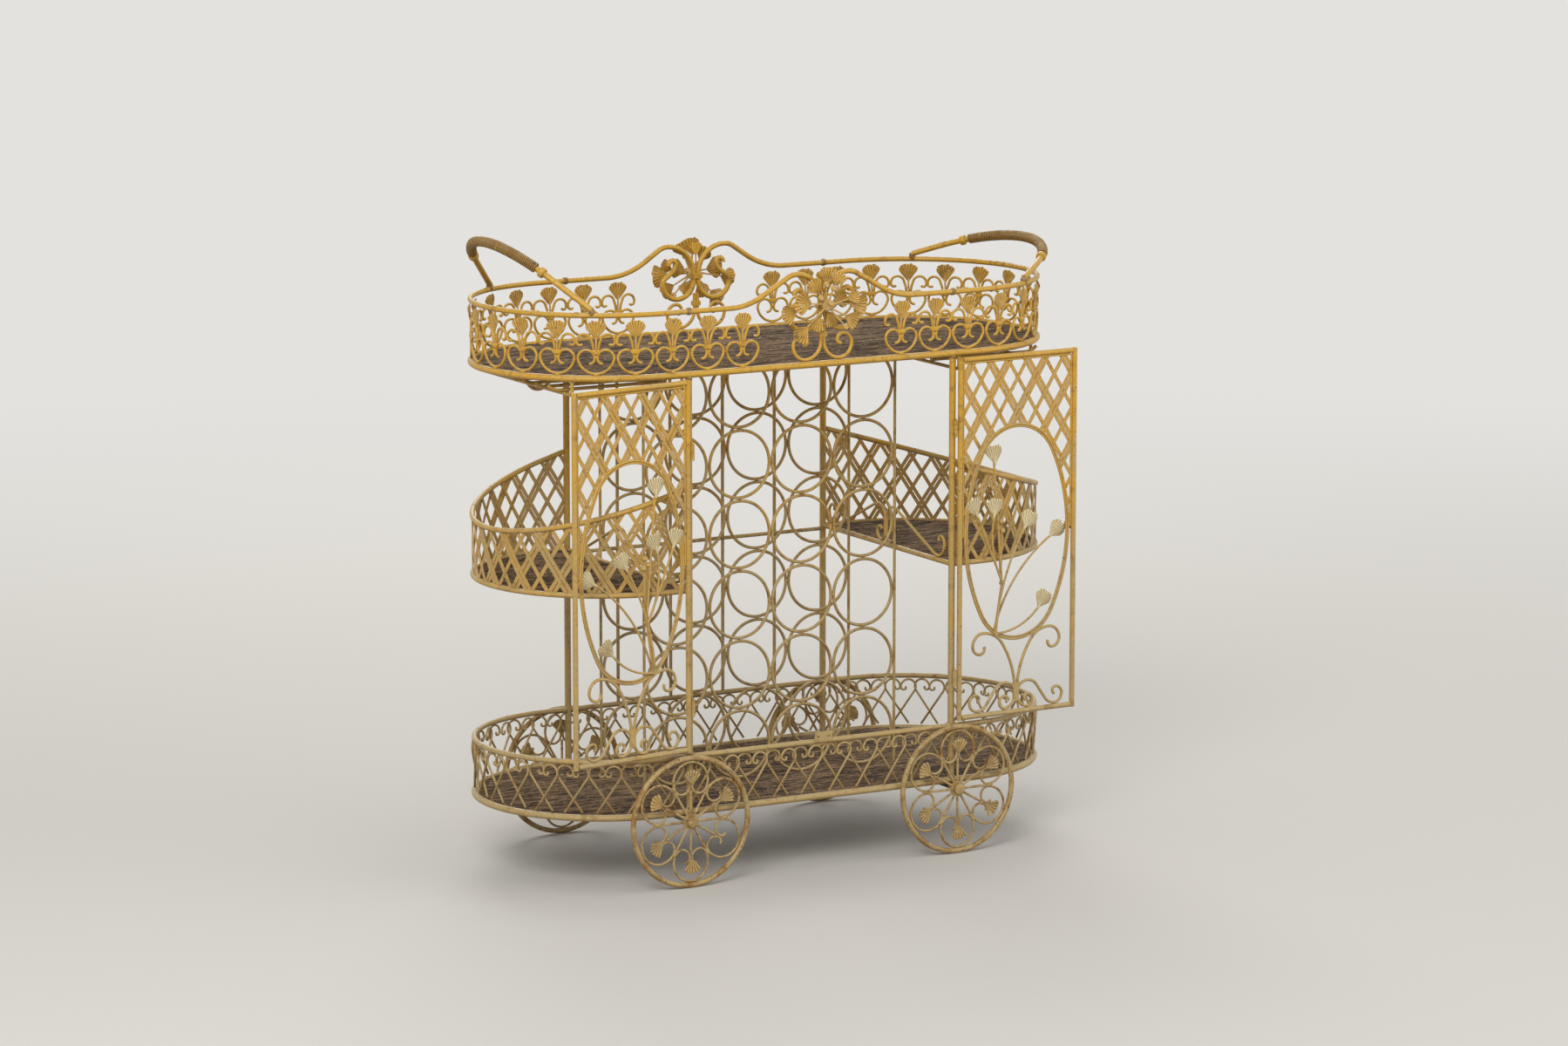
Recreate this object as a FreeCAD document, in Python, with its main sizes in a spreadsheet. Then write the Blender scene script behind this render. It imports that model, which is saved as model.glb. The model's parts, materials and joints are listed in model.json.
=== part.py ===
import FreeCAD, Part
import math
import os
import Sketcher
from FreeCAD import Placement, Rotation, Vector

# A wrought iron serving trolley for bottles and glasses, in millimetres.
# X runs along the trolley, the doors open towards -Y, Z is up and the wheels
# stand on Z = 0. The doors are modelled standing open.

doc = FreeCAD.newDocument("ServingTrolley")
sheet = doc.addObject("Spreadsheet::Sheet", "Sizes")

# Every "wire" is the radius of a round bar.
SIZES = {
    # plan of the two trays: a straight front and back with round ends
    "tray_straight": 528,
    "tray_radius": 196,
    "weld_gap": 0.1,
    "cut_overrun": 40,
    # trays
    "rim_wire": 5,
    "rail_wire": 4,
    "lower_rim_height": 112,
    "lower_rail_height": 196,
    "top_rim_height": 766,
    "top_rail_height": 859,
    "mat_thickness": 2,
    "mat_drop": 0.7,
    "crossbar_wire": 2.4,
    "crossbar_count": 8,
    # corner posts
    "post_wire": 5,
    "post_spread": 450,
    # gallery of the top tray
    "gallery_wire": 2,
    "gallery_ring_radius": 27,
    "gallery_hook_radius": 7,
    "gallery_curl_radius": 11.8,
    "gallery_count": 16,
    "gallery_start": 135,
    "collar_wall": 1.1,
    "collar_height": 7,
    "gallery_leaf_width": 26,
    "gallery_leaf_height": 30,
    "leaf_thickness": 1.1,
    "leaf_pleat": 0.9,
    # crest of the top rail, front and back
    "crest_half": 155,
    "crest_front_rise": 43,
    "crest_front_peak": 44,
    "crest_front_slope": 30,
    "crest_rear_rise": 41,
    "crest_rear_peak": 49,
    "crest_rear_slope": 34,
    "crest_crown_radius": 29,
    "crest_loop_radius": 28.5,
    "crest_loop_drop": 12.5,
    "crest_scroll_radius": 26,
    "crest_scroll_wire": 2.6,
    "crest_scroll_drop": 33,
    "crest_clasp_drop": 10,
    "finial_width": 28,
    "finial_height": 22,
    "finial_rise": 24,
    "finial_stalk": 10,
    "berry_radius": 4.6,
    "bouquet_reach": 64,
    "bouquet_leaf_width": 32,
    "bouquet_leaf_height": 30,
    "bouquet_stem_wire": 1.4,
    "bouquet_depth": 13,
    # carrying handles over the two ends
    "handle_wire": 4.5,
    "handle_span": 332,
    "handle_left_slope": 55,
    "handle_left_reach": 88,
    "handle_left_rise": 87,
    "handle_right_slope": 56,
    "handle_right_reach": 103,
    "handle_right_rise": 38,
    "grip_wire": 1.6,
    "grip_pitch": 9.6,
    "grip_turns": 24,
    "grip_clearance": 0.3,
    "handle_collar_wall": 3.2,
    "handle_collar_length": 9,
    # heart gallery of the lower tray
    "heart_wire": 1.75,
    "heart_count": 48,
    "heart_curl_radius": 3.4,
    # bottle rack
    "rack_pitch": 107.4,
    "rack_wire": 2.4,
    "rack_middle": 31,
    "rack_depth": 140,
    "rack_base": 167.6,
    "rack_columns": 4,
    "rack_rows": 6,
    "rack_rod_wire": 2.2,
    "ring_gap": 0.1,
    # back grille
    "back_rod_pitch": 92,
    "back_rod_wire": 2.6,
    "brace_height": 441,
    "brace_wire": 3,
    # side baskets
    "basket_floor_height": 445,
    "basket_post_height": 599,
    "basket_drop": 69,
    "basket_wire": 4,
    "strip_thickness": 1.2,
    "strip_gap": 0.1,
    "strip_width": 5.6,
    "strip_pair_gap": 1.2,
    "strip_pitch": 33,
    "strip_slope": 58,
    "basket_scroll_wire": 2.2,
    "basket_scroll_height": 54,
    "basket_scroll_slope": 24,
    # glass hangers under the top tray
    "hanger_wire": 2.6,
    "hanger_prong_pitch": 41,
    "hanger_prongs": 5,
    "hanger_height": 741,
    "hanger_inner": 236,
    "hanger_outer": 392,
    "hanger_middle": -40,
    "hanger_tip_rise": 8,
    "hanger_loop_radius": 21,
    # doors
    "door_bar_wire": 4,
    "door_width": 206,
    "door_low": 208.5,
    "door_high": 756,
    "door_plane": 206.5,
    "hinge_offset": 8,
    "door_left_open": 171,
    "door_right_open": 182,
    "door_inner_wire": 1.5,
    "oval_wire": 2,
    "oval_inner_wire": 1.5,
    "oval_half_height": 165,
    "oval_end_radius": 72,
    "oval_middle": 486,
    "stem_wire": 1.7,
    "stem_base_place": 72,
    "spray_leaf_width": 30,
    "spray_leaf_height": 31,
    "scroll_wire": 2.3,
    "hinge_low": 270,
    "hinge_high": 652,
    "knuckle_radius": 3.4,
    "knuckle_length": 12,
    "pin_radius": 1.6,
    "pin_clearance": 0.05,
    "hinge_tab_thickness": 1.6,
    "hinge_play": 0.4,
    "knob_radius": 7,
    "knob_length": 15,
    # door catch on the front rail
    "catch_length": 30,
    "catch_height": 15,
    "catch_thickness": 1.6,
    "catch_hole_radius": 1.9,
    "catch_hole_spacing": 18,
    # wheels
    "wheel_radius": 100,
    "wheel_spread": 460,
    "wheel_plane": 208,
    "tyre_wire": 4,
    "spoke_wire": 1.9,
    "spoke_count": 12,
    "hub_radius": 9,
    "hub_length": 9,
    "hub_boss_radius": 12,
    "hub_boss_length": 4,
    "wheel_scroll_wire": 1.8,
    "wheel_leaf_width": 23,
    "wheel_leaf_height": 23,
    "axle_radius": 4,
    "axle_clearance": 0.06,
    "axle_collar_radius": 7,
    "axle_collar_length": 2,
    "axle_cap_radius": 7.5,
    "axle_cap_length": 4,
    "axle_play": 0.35,
    "bearing_radius": 6.8,
    "bearing_length": 9,
}
for row, (alias, number) in enumerate(SIZES.items(), start=1):
    sheet.set("A%d" % row, alias)
    sheet.set("B%d" % row, str(number))
    sheet.setAlias("B%d" % row, alias)
doc.recompute()


def size(alias):
    """The named size, as the sheet holds it."""
    return float(sheet.get(alias))


UP = Vector(0, 0, 1)
ALONG = Vector(1, 0, 0)
ACROSS = Vector(0, 1, 0)
ORIGIN = Vector(0, 0, 0)
finished = []


def keep(label, shape):
    """A sub-part whose form is set from shapes."""
    feature = doc.addObject("Part::Feature", label)
    feature.Shape = shape
    feature.Placement = shape.Placement
    feature.Label = label
    finished.append(feature)
    return feature


def keep_object(label, thing):
    thing.Label = label
    finished.append(thing)
    return thing


def flip(shape):
    """The same piece for the other end of the trolley."""
    return shape.mirror(ORIGIN, ALONG)


# Bars, lines and tangent arcs


def line(start, end):
    return Part.LineSegment(start, end).toShape()


def arc(start, middle, end):
    return Part.Arc(start, middle, end).toShape()


def tube(edges, wire):
    """A round bar along lines and tangent arcs."""
    first = edges[0]
    start = first.valueAt(first.FirstParameter)
    heading = first.tangentAt(first.FirstParameter)
    section = Part.Wire(Part.makeCircle(wire, start, heading))
    solid = Part.Wire(edges).makePipeShell([section], True, False)
    if solid.Volume < 0:
        solid.reverse()
    return solid


def rod(start, end, wire):
    reach = end.sub(start)
    return Part.makeCylinder(wire, reach.Length, start, reach)


def upright_path(start_x, start_z, heading, moves):
    """Lines and arcs in the upright XZ plane. A move is a radius and a turn, or a run with no turn."""
    edges = []
    x, z = start_x, start_z
    angle = math.radians(heading)
    for amount, turn in moves:
        here = Vector(x, 0, z)
        if turn == 0:
            there = Vector(x + amount * math.cos(angle), 0, z + amount * math.sin(angle))
            edges.append(line(here, there))
        else:
            bend = math.radians(turn)
            radius = math.copysign(amount, bend)
            centre_x = x - radius * math.sin(angle)
            centre_z = z + radius * math.cos(angle)
            half = angle + bend / 2
            angle += bend
            middle = Vector(centre_x + radius * math.sin(half), 0, centre_z - radius * math.cos(half))
            there = Vector(centre_x + radius * math.sin(angle), 0, centre_z - radius * math.cos(angle))
            edges.append(arc(here, middle, there))
        x, z = there.x, there.z
    return edges


# The plan line of the trays, measured from the middle of the front, going right


half_straight = size("tray_straight") / 2
end_length = math.pi * size("tray_radius")
tray_length = 2 * size("tray_straight") + 2 * end_length


def wall_spot(place, out=0.0):
    """Plan point and heading on the wall line."""
    place = place % tray_length
    radius = size("tray_radius")
    runs = (half_straight, end_length, 2 * half_straight, end_length, half_straight)
    index = 0
    while index < 4 and place > runs[index]:
        place -= runs[index]
        index += 1
    if index == 0:
        point, heading = Vector(place, -radius, 0), 0.0
    elif index == 1:
        heading = place / radius
        point = Vector(half_straight + radius * math.sin(heading), -radius * math.cos(heading), 0)
    elif index == 2:
        point, heading = Vector(half_straight - place, radius, 0), math.pi
    elif index == 3:
        heading = math.pi + place / radius
        point = Vector(-half_straight + radius * math.sin(heading), -radius * math.cos(heading), 0)
    else:
        point, heading = Vector(-half_straight + place, -radius, 0), 0.0
    normal = Vector(math.sin(heading), -math.cos(heading), 0)
    return point + normal * out, heading


def wall_point(place, height, out=0.0):
    point, heading = wall_spot(place, out)
    return Vector(point.x, point.y, height)


def wall_plane(place, half_width, height, out=0.0):
    """Where a flat motif of this width sits against the wall line."""
    before = wall_point(place - half_width, 0)
    after = wall_point(place + half_width, 0)
    middle = wall_point(place, 0)
    chord = after.sub(before)
    heading = math.atan2(chord.y, chord.x)
    normal = Vector(math.sin(heading), -math.cos(heading), 0)
    centre = (middle + (before + after) * 0.5) * 0.5 + normal * out
    return Placement(Vector(centre.x, centre.y, height), Rotation(UP, math.degrees(heading)))


def placed(shape, placement):
    copy = shape.copy()
    copy.Placement = placement.multiply(copy.Placement)
    return copy


def wall_path(start, end, height, out=0.0):
    """The wall line from one place to another as lines and arcs."""
    runs = (half_straight, end_length, 2 * half_straight, end_length, half_straight)
    marks = [0.0]
    for turn in range(2):
        for run in runs:
            marks.append(marks[-1] + run)
    stops = [start] + [m for m in marks if start + size("weld_gap") < m < end - size("weld_gap")] + [end]
    edges = []
    for a, b in zip(stops, stops[1:]):
        one = wall_point(a, height, out)
        two = wall_point(b, height, out)
        between = wall_point((a + b) / 2, height, out)
        straight = (one + two) * 0.5
        if straight.sub(between).Length < size("weld_gap") / 100:
            edges.append(line(one, two))
        else:
            edges.append(arc(one, between, two))
    return edges


def ring_bar(height, wire, out=0.0):
    """A closed bar all round the plan line."""
    radius = size("tray_radius") + out
    half = half_straight
    corners = [Vector(half, -radius, height), Vector(half, radius, height),
               Vector(-half, radius, height), Vector(-half, -radius, height)]
    edges = [
        line(corners[3], corners[0]),
        arc(corners[0], Vector(half + radius, 0, height), corners[1]),
        line(corners[1], corners[2]),
        arc(corners[2], Vector(-half - radius, 0, height), corners[3]),
    ]
    return tube(edges, wire)


# Ginkgo leaf: a pleated fan with a notch, on its own stalk


fan_share = (0.86, 0.97, 1.0, 0.90, 1.0, 0.97, 0.86)


def leaf(width, height, stalk=0.0, stalk_wire=0.0):
    """A fan in the XZ plane that opens upwards from the origin."""
    thick = size("leaf_thickness")
    pleat = size("leaf_pleat")
    spread = math.atan2(width / 2, height * fan_share[0])
    count = len(fan_share) - 1
    front, back = [], []
    for index, share in enumerate(fan_share):
        angle = spread * (2 * index / count - 1)
        wave = pleat * (1 if index % 2 else -1) / 2
        reach = height * share
        front.append(Vector(reach * math.sin(angle), wave - thick / 2, reach * math.cos(angle)))
        back.append(Vector(reach * math.sin(angle), wave + thick / 2, reach * math.cos(angle)))
    apex_front = Vector(0, -thick / 2, 0)
    apex_back = Vector(0, thick / 2, 0)

    def face(*points):
        return Part.Face(Part.makePolygon(list(points) + [points[0]]))

    faces = []
    for a in range(count):
        faces.append(face(apex_front, front[a], front[a + 1]))
        faces.append(face(apex_back, back[a + 1], back[a]))
        faces.append(face(front[a], back[a], back[a + 1], front[a + 1]))
    faces.append(face(apex_front, apex_back, back[0], front[0]))
    faces.append(face(apex_front, front[-1], back[-1], apex_back))
    solid = Part.makeSolid(Part.makeShell(faces))
    if solid.Volume < 0:
        solid.reverse()
    if stalk:
        root = Vector(0, 0, -stalk)
        solid = solid.fuse(rod(root, Vector(0, 0, height * fan_share[3] / 3), stalk_wire))
    return solid


# Corner posts


for side, x_sign, y_sign in (
    ("front_left", -1, -1),
    ("front_right", 1, -1),
    ("rear_left", -1, 1),
    ("rear_right", 1, 1),
):
    post = doc.addObject("Part::Cylinder", "post_" + side)
    post.setExpression("Radius", "Sizes.post_wire")
    post.setExpression(
        "Height",
        "Sizes.top_rim_height - Sizes.lower_rim_height - 2 * Sizes.rim_wire - 2 * Sizes.weld_gap",
    )
    post.setExpression(".Placement.Base.x", "%d * Sizes.post_spread / 2" % x_sign)
    post.setExpression(".Placement.Base.y", "%d * Sizes.tray_radius" % y_sign)
    post.setExpression(
        ".Placement.Base.z", "Sizes.lower_rim_height + Sizes.rim_wire + Sizes.weld_gap"
    )
    keep_object("post_" + side, post)


# Rims and rails of the two trays


keep("top_tray_rim", ring_bar(size("top_rim_height"), size("rim_wire")))
keep("lower_tray_rim", ring_bar(size("lower_rim_height"), size("rim_wire")))

crest_end = size("crest_half") + size("weld_gap")
right_rail = tube(
    wall_path(crest_end, tray_length / 2 - crest_end, size("top_rail_height")), size("rail_wire")
)
keep("top_rail_right", right_rail)
keep("top_rail_left", flip(right_rail))

post_place = size("post_spread") / 2
post_clear = size("post_wire") + size("weld_gap")
lower_right = tube(
    wall_path(
        post_place + post_clear,
        tray_length / 2 - post_place - post_clear,
        size("lower_rail_height"),
    ),
    size("rail_wire"),
)
keep("lower_rail_right", lower_right)
keep("lower_rail_left", flip(lower_right))
straight_rails = []
for y_sign in (-1, 1):
    reach = post_place - post_clear
    y = y_sign * size("tray_radius")
    straight_rails.append(
        rod(
            Vector(-reach, y, size("lower_rail_height")),
            Vector(reach, y, size("lower_rail_height")),
            size("rail_wire"),
        )
    )
keep("lower_rails_straight", Part.makeCompound(straight_rails))


# Floors: a woven mat inside the rim, over round crossbars


def origin_plane(body, role):
    return [part for part in body.Origin.OriginFeatures if part.Role == role][0]


def sketch_on(body, name, role):
    sketch = body.newObject("Sketcher::SketchObject", name)
    sketch.AttachmentSupport = [(origin_plane(body, role), "")]
    sketch.MapMode = "FlatFace"
    return sketch


def geo_arc(centre, radius, start, end):
    circle = Part.Circle(centre, UP, radius)
    return Part.ArcOfCircle(circle, math.radians(start), math.radians(end))


def mat_body(label, height_rule):
    """The mat of a tray: two straight sides and two round ends."""
    body = doc.addObject("PartDesign::Body", label)
    sketch = sketch_on(body, label + "_outline", "XY_Plane")
    half = half_straight
    radius = size("tray_radius") - size("rim_wire") - size("weld_gap")
    sketch.addGeometry(Part.LineSegment(Vector(-half, -radius, 0), Vector(half, -radius, 0)), False)
    sketch.addGeometry(geo_arc(Vector(half, 0, 0), radius, -90, 90), False)
    sketch.addGeometry(Part.LineSegment(Vector(half, radius, 0), Vector(-half, radius, 0)), False)
    sketch.addGeometry(geo_arc(Vector(-half, 0, 0), radius, 90, 270), False)

    for one, one_end, two, two_end in ((0, 2, 1, 1), (1, 2, 2, 1), (2, 2, 3, 1), (3, 2, 0, 1)):
        sketch.addConstraint(Sketcher.Constraint("Tangent", one, one_end, two, two_end))
    sketch.addConstraint(Sketcher.Constraint("Horizontal", 0))
    sketch.addConstraint(Sketcher.Constraint("Symmetric", 1, 3, 3, 3, -1, 1))
    round_end = sketch.addConstraint(Sketcher.Constraint("Radius", 1, radius))
    between = sketch.addConstraint(Sketcher.Constraint("DistanceX", 3, 3, 1, 3, 2 * half))
    sketch.setExpression(
        "Constraints[%d]" % round_end, "Sizes.tray_radius - Sizes.rim_wire - Sizes.weld_gap"
    )
    sketch.setExpression("Constraints[%d]" % between, "Sizes.tray_straight")
    pad = body.newObject("PartDesign::Pad", label + "_mat")
    pad.Profile = sketch
    pad.setExpression("Length", "Sizes.mat_thickness")
    body.setExpression(".Placement.Base.z", height_rule)
    return keep_object(label, body)


mat_body("top_tray_floor", "Sizes.top_rim_height - Sizes.mat_drop")
mat_body("lower_tray_floor", "Sizes.lower_rim_height - Sizes.mat_drop")


def crossbars(rim_height):
    """Round bars across the tray, just under its mat."""
    wire = size("crossbar_wire")
    count = int(size("crossbar_count"))
    height = rim_height - size("mat_drop") - size("weld_gap") - wire
    bars = []
    for index in range(count):
        x = (index - (count - 1) / 2) * 2 * (half_straight + size("tray_radius")) / (count + 1)
        over = max(abs(x) - half_straight, 0)
        reach = size("tray_radius") - size("rim_wire") - size("weld_gap")
        half = math.sqrt(reach**2 - (over + wire if over else 0) ** 2)
        bars.append(rod(Vector(x, -half, height), Vector(x, half, height), wire))
    return bars


keep(
    "tray_crossbars",
    Part.makeCompound(crossbars(size("top_rim_height")) + crossbars(size("lower_rim_height"))),
)


# Gallery motif of the top tray: an open ring whose ends turn in and hook,
# two curls that rise from its cusp, and the collar that clasps all four ends


def two_way_path(x, z, heading, back_moves, on_moves):
    """One path through a middle point: back from it to one end, and on to the other."""
    back = upright_path(x, z, heading + 180, back_moves)
    last = back[-1]
    end = last.valueAt(last.LastParameter)
    turned = heading + 180 + sum(turn for amount, turn in back_moves)
    moves = [(amount, -turn) for amount, turn in reversed(back_moves)] + list(on_moves)
    return upright_path(end.x, end.z, turned + 180, moves)


def apple_shoulder(radius, gap, turn):
    sine = math.sin(math.radians(turn))
    return (radius * sine - gap) / (1 + sine)


def apple_cusp(radius, gap, turn):
    cosine = math.cos(math.radians(turn))
    return radius * (1 - cosine) + apple_shoulder(radius, gap, turn) * cosine


def apple_ring(radius, gap, turn, drop, hook_radius, hook_turn, wire):
    """An open ring, from its lowest point both ways round to two hooks inside it."""
    shoulder = apple_shoulder(radius, gap, turn)
    half = [(radius, turn), (shoulder, 270 - turn), (drop, 0), (hook_radius, hook_turn)]
    other = [(amount, -bend) for amount, bend in half]
    return tube(two_way_path(0, 0, 0, other, half), wire)


ring_turn = 75
hook_turn = 95
hook_drop_share = 0.04
collar_place_share = 0.72
curl_top_share = 0.74
curl_tip_share = 0.45
motif_wire = size("gallery_wire")
motif_gap = motif_wire + size("weld_gap") / 2
motif_radius = size("gallery_ring_radius")
motif_cusp = apple_cusp(motif_radius, motif_gap, ring_turn)
rim_top = size("top_rim_height") + size("rim_wire")
rail_bottom = size("top_rail_height") - size("rail_wire")
motif_base = rim_top + motif_wire + size("weld_gap")
collar_middle = motif_cusp + apple_shoulder(motif_radius, motif_gap, ring_turn) * collar_place_share
stalk_room = motif_wire + size("leaf_thickness") + 2 * size("weld_gap")


def gallery_motif():
    ring = apple_ring(
        motif_radius,
        motif_gap,
        ring_turn,
        motif_radius * hook_drop_share,
        size("gallery_hook_radius"),
        hook_turn,
        motif_wire,
    )
    curl_radius = size("gallery_curl_radius")
    stem_top = (rail_bottom - motif_base) * curl_top_share - curl_radius
    curls = []
    for sign in (1, -1):
        moves = [
            (stem_top - collar_middle, 0),
            (curl_radius, -180 * sign),
            (curl_radius * curl_tip_share, -100 * sign),
        ]
        curls.append(tube(upright_path(sign * stalk_room, collar_middle, 90, moves), motif_wire))
    wall = size("collar_wall")
    half = stalk_room + motif_wire + wall
    deep = motif_wire + wall
    tall = size("collar_height")
    collar = Part.makeBox(2 * half, 2 * deep, tall, Vector(-half, -deep, collar_middle - tall / 2))
    collar = collar.makeFillet(wall, [edge for edge in collar.Edges if abs(edge.tangentAt(0).z) > 0.9])
    return collar.fuse([ring] + curls)


gallery_end = tray_length / 2 - size("gallery_start")
gallery_step = (gallery_end - size("gallery_start")) / (size("gallery_count") - 1)
gallery_places = []
for index in range(int(size("gallery_count"))):
    place = size("gallery_start") + index * gallery_step
    gallery_places += [place, -place]

motif = gallery_motif()
if len(motif.Solids) != 1:
    raise ValueError("the gallery motif isn't one piece")
motifs = [
    placed(motif, wall_plane(place, motif_radius, motif_base)) for place in gallery_places
]
keep("top_gallery_scrolls", Part.makeCompound(motifs))

leaf_base = rail_bottom - size("weld_gap") - size("gallery_leaf_height")
leaf_stalk = leaf_base - motif_base - collar_middle - size("collar_height") / 2 - size("weld_gap")
gallery_leaf = leaf(
    size("gallery_leaf_width"), size("gallery_leaf_height"), leaf_stalk, size("leaf_thickness")
)
leaves = [
    placed(gallery_leaf, wall_plane(place, size("gallery_leaf_width") / 2, leaf_base))
    for place in gallery_places
]
keep("top_gallery_leaves", Part.makeCompound(leaves))


# Crest of the top rail: each bar sweeps up from the rail, over a hump, down the
# middle and out into a loop that ends in a hook


def crest_bar(side):
    peak = size("crest_%s_peak" % side)
    rise = size("crest_%s_rise" % side)
    slope = size("crest_%s_slope" % side)
    crown = size("crest_crown_radius")
    loop = size("crest_loop_radius")
    sine = math.sin(math.radians(slope))
    cosine = math.cos(math.radians(slope))
    run = size("crest_half") - peak - crown * sine
    up = rise - crown * (1 - cosine)
    fall = peak - size("rail_wire") - size("weld_gap") / 2
    moves = [
        ((run * sine - up * cosine) / (1 - cosine), -slope),
        ((up * sine - run * (1 - cosine)) / (1 - cosine), 0),
        (crown, slope),
        (fall, 90),
        (rise - fall + size("crest_loop_drop"), 0),
        (loop, 90),
        (loop * 0.9, 84),
        (loop * 0.39, 60),
        (loop * 0.53, 0),
        (loop * 0.53, -54),
        (loop * 0.21, -190),
    ]
    return tube(upright_path(size("crest_half"), size("top_rail_height"), 180, moves), size("rail_wire"))


crest_scroll_low = rim_top + size("crest_scroll_wire") + size("weld_gap")


def crest_scroll():
    """Thin scroll under the crest, down the middle and round into a loop."""
    wire = size("crest_scroll_wire")
    radius = size("crest_scroll_radius")
    top = size("top_rail_height") - size("crest_scroll_drop")
    moves = [
        (top - crest_scroll_low - radius, 0),
        (radius, 90),
        (radius * 0.81, 90),
        (radius * 0.59, 90),
        (radius * 0.35, 100),
        (radius * 0.19, 100),
    ]
    return tube(upright_path(wire + size("weld_gap") / 2, top, 270, moves), wire)


def clasp(half_width, half_depth, height, low):
    """A band bent round two bars that lie side by side."""
    wall = size("collar_wall")
    gap = size("weld_gap")
    outer = Part.makeBox(
        2 * (half_width + wall + gap),
        2 * (half_depth + wall + gap),
        height,
        Vector(-half_width - wall - gap, -half_depth - wall - gap, low),
    )
    inner = Part.makeBox(
        2 * (half_width + gap),
        2 * (half_depth + gap),
        height + 2 * wall,
        Vector(-half_width - gap, -half_depth - gap, low - wall),
    )
    return outer.cut(inner)


scroll = crest_scroll()
bar_clasp = clasp(
    2 * size("rail_wire"),
    size("rail_wire"),
    size("collar_height"),
    size("top_rail_height") - size("crest_clasp_drop"),
)
scroll_clasp = clasp(
    2 * size("crest_scroll_wire"),
    size("crest_scroll_wire"),
    size("collar_height"),
    crest_scroll_low + size("crest_scroll_radius") + size("collar_height"),
)
finial = leaf(
    size("finial_width"), size("finial_height"), size("finial_stalk"), size("leaf_thickness")
)
finial.translate(Vector(0, 0, size("top_rail_height") + size("finial_rise")))
for side, turn in (("front", 0), ("rear", 180)):
    bar = crest_bar(side)
    crest = [bar, flip(bar), bar_clasp, scroll, flip(scroll), scroll_clasp, finial]
    spot = Placement(Vector(0, (1 if turn else -1) * size("tray_radius"), 0), Rotation(UP, turn))
    keep("crest_" + side, Part.makeCompound([placed(piece, spot) for piece in crest]))


# Spray of leaves and berries that is wired to the outer face of each crest


bouquet_leaf_shares = (
    (0.05, 0.70, 0.95),
    (-0.34, 0.46, 0.85),
    (-0.68, 0.10, 1.0),
    (0.42, 0.14, 0.9),
    (0.90, -0.02, 1.05),
    (0.66, -0.38, 0.9),
    (0.16, -0.36, 0.85),
    (-0.30, -0.42, 0.85),
    (-0.72, -0.62, 0.95),
    (-0.98, -0.14, 0.9),
)
bouquet_berry_shares = ((-0.08, 0.50), (0.10, 0.40), (-0.22, 0.20), (0.02, 0.06), (0.44, -0.52))


def upright_turn(x, z):
    """The turn about Y that tips an upright piece over towards this side."""
    return Rotation(ACROSS, math.degrees(math.atan2(x, z)))


def bouquet():
    reach = size("bouquet_reach")
    depth = size("bouquet_depth")
    layer_shares = (0.25, 0.55, 0.85)
    knot = Part.makeCylinder(2 * size("berry_radius"), depth, ORIGIN, Vector(0, -1, 0))
    pieces = []
    for index, (x_share, z_share, scale) in enumerate(bouquet_leaf_shares):
        y = -depth * layer_shares[index % 3]
        x, z = x_share * reach, z_share * reach
        away = math.hypot(x, z)
        height = size("bouquet_leaf_height") * scale
        start = away - height / 2
        fan = leaf(size("bouquet_leaf_width") * scale, height, start, size("bouquet_stem_wire"))
        fan.translate(Vector(0, 0, start))
        pieces.append(placed(fan, Placement(Vector(0, y, 0), upright_turn(x, z))))
    for index, (x_share, z_share) in enumerate(bouquet_berry_shares):
        x, z = x_share * reach, z_share * reach
        spot = Vector(x, -depth - size("berry_radius") * (1 + index % 2) / 2, z)
        pieces.append(Part.makeSphere(size("berry_radius"), spot))
        pieces.append(rod(Vector(0, -depth * 0.9, 0), spot, size("bouquet_stem_wire")))
    return knot.fuse(pieces)


spray = bouquet()
bouquet_height = size("top_rail_height") - size("rail_wire")
for side, turn in (("front", 0), ("rear", 180)):
    face_y = size("tray_radius") + size("rail_wire") + size("collar_wall") + 2 * size("weld_gap")
    spot = Placement(Vector(0, (1 if turn else -1) * face_y, bouquet_height), Rotation(UP, turn))
    keep("bouquet_" + side, placed(spray, spot))


# Carrying handles: an arched bar that leans out over each end of the top tray


def handle_path(side):
    """The arch in its own upright plane: the radius of its round top, its legs and its height."""
    slope = math.radians(size("handle_%s_slope" % side))
    half = size("handle_span") / 2
    height = math.hypot(size("handle_%s_reach" % side), size("handle_%s_rise" % side))
    radius = (half * math.tan(slope) - height) / (1 / math.cos(slope) - 1)
    leg = (half - radius * math.sin(slope)) / math.cos(slope)
    return radius, leg, height


def lean(shape, side):
    """From the upright XZ plane to the leaning plane over one end of the tray."""
    sign = -1 if side == "left" else 1
    tilt = math.atan2(size("handle_%s_reach" % side), size("handle_%s_rise" % side))
    climb = math.sin(math.radians(size("handle_%s_slope" % side))) * math.cos(tilt)
    foot_x = half_straight + math.sqrt(size("tray_radius") ** 2 - (size("handle_span") / 2) ** 2)
    foot_z = size("rail_wire") + size("weld_gap") + size("handle_wire") * math.sqrt(1 - climb**2)
    spot = Placement(
        Vector(sign * foot_x, 0, size("top_rail_height") + foot_z),
        Rotation(ACROSS, sign * math.degrees(tilt)).multiply(Rotation(UP, 90)),
    )
    return placed(shape, spot)


def handle(side):
    radius, leg, height = handle_path(side)
    slope = size("handle_%s_slope" % side)
    moves = [(leg, 0), (radius, -2 * slope), (leg, 0)]
    bar = tube(upright_path(-size("handle_span") / 2, 0, slope, moves), size("handle_wire"))
    return lean(bar, side)


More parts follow.
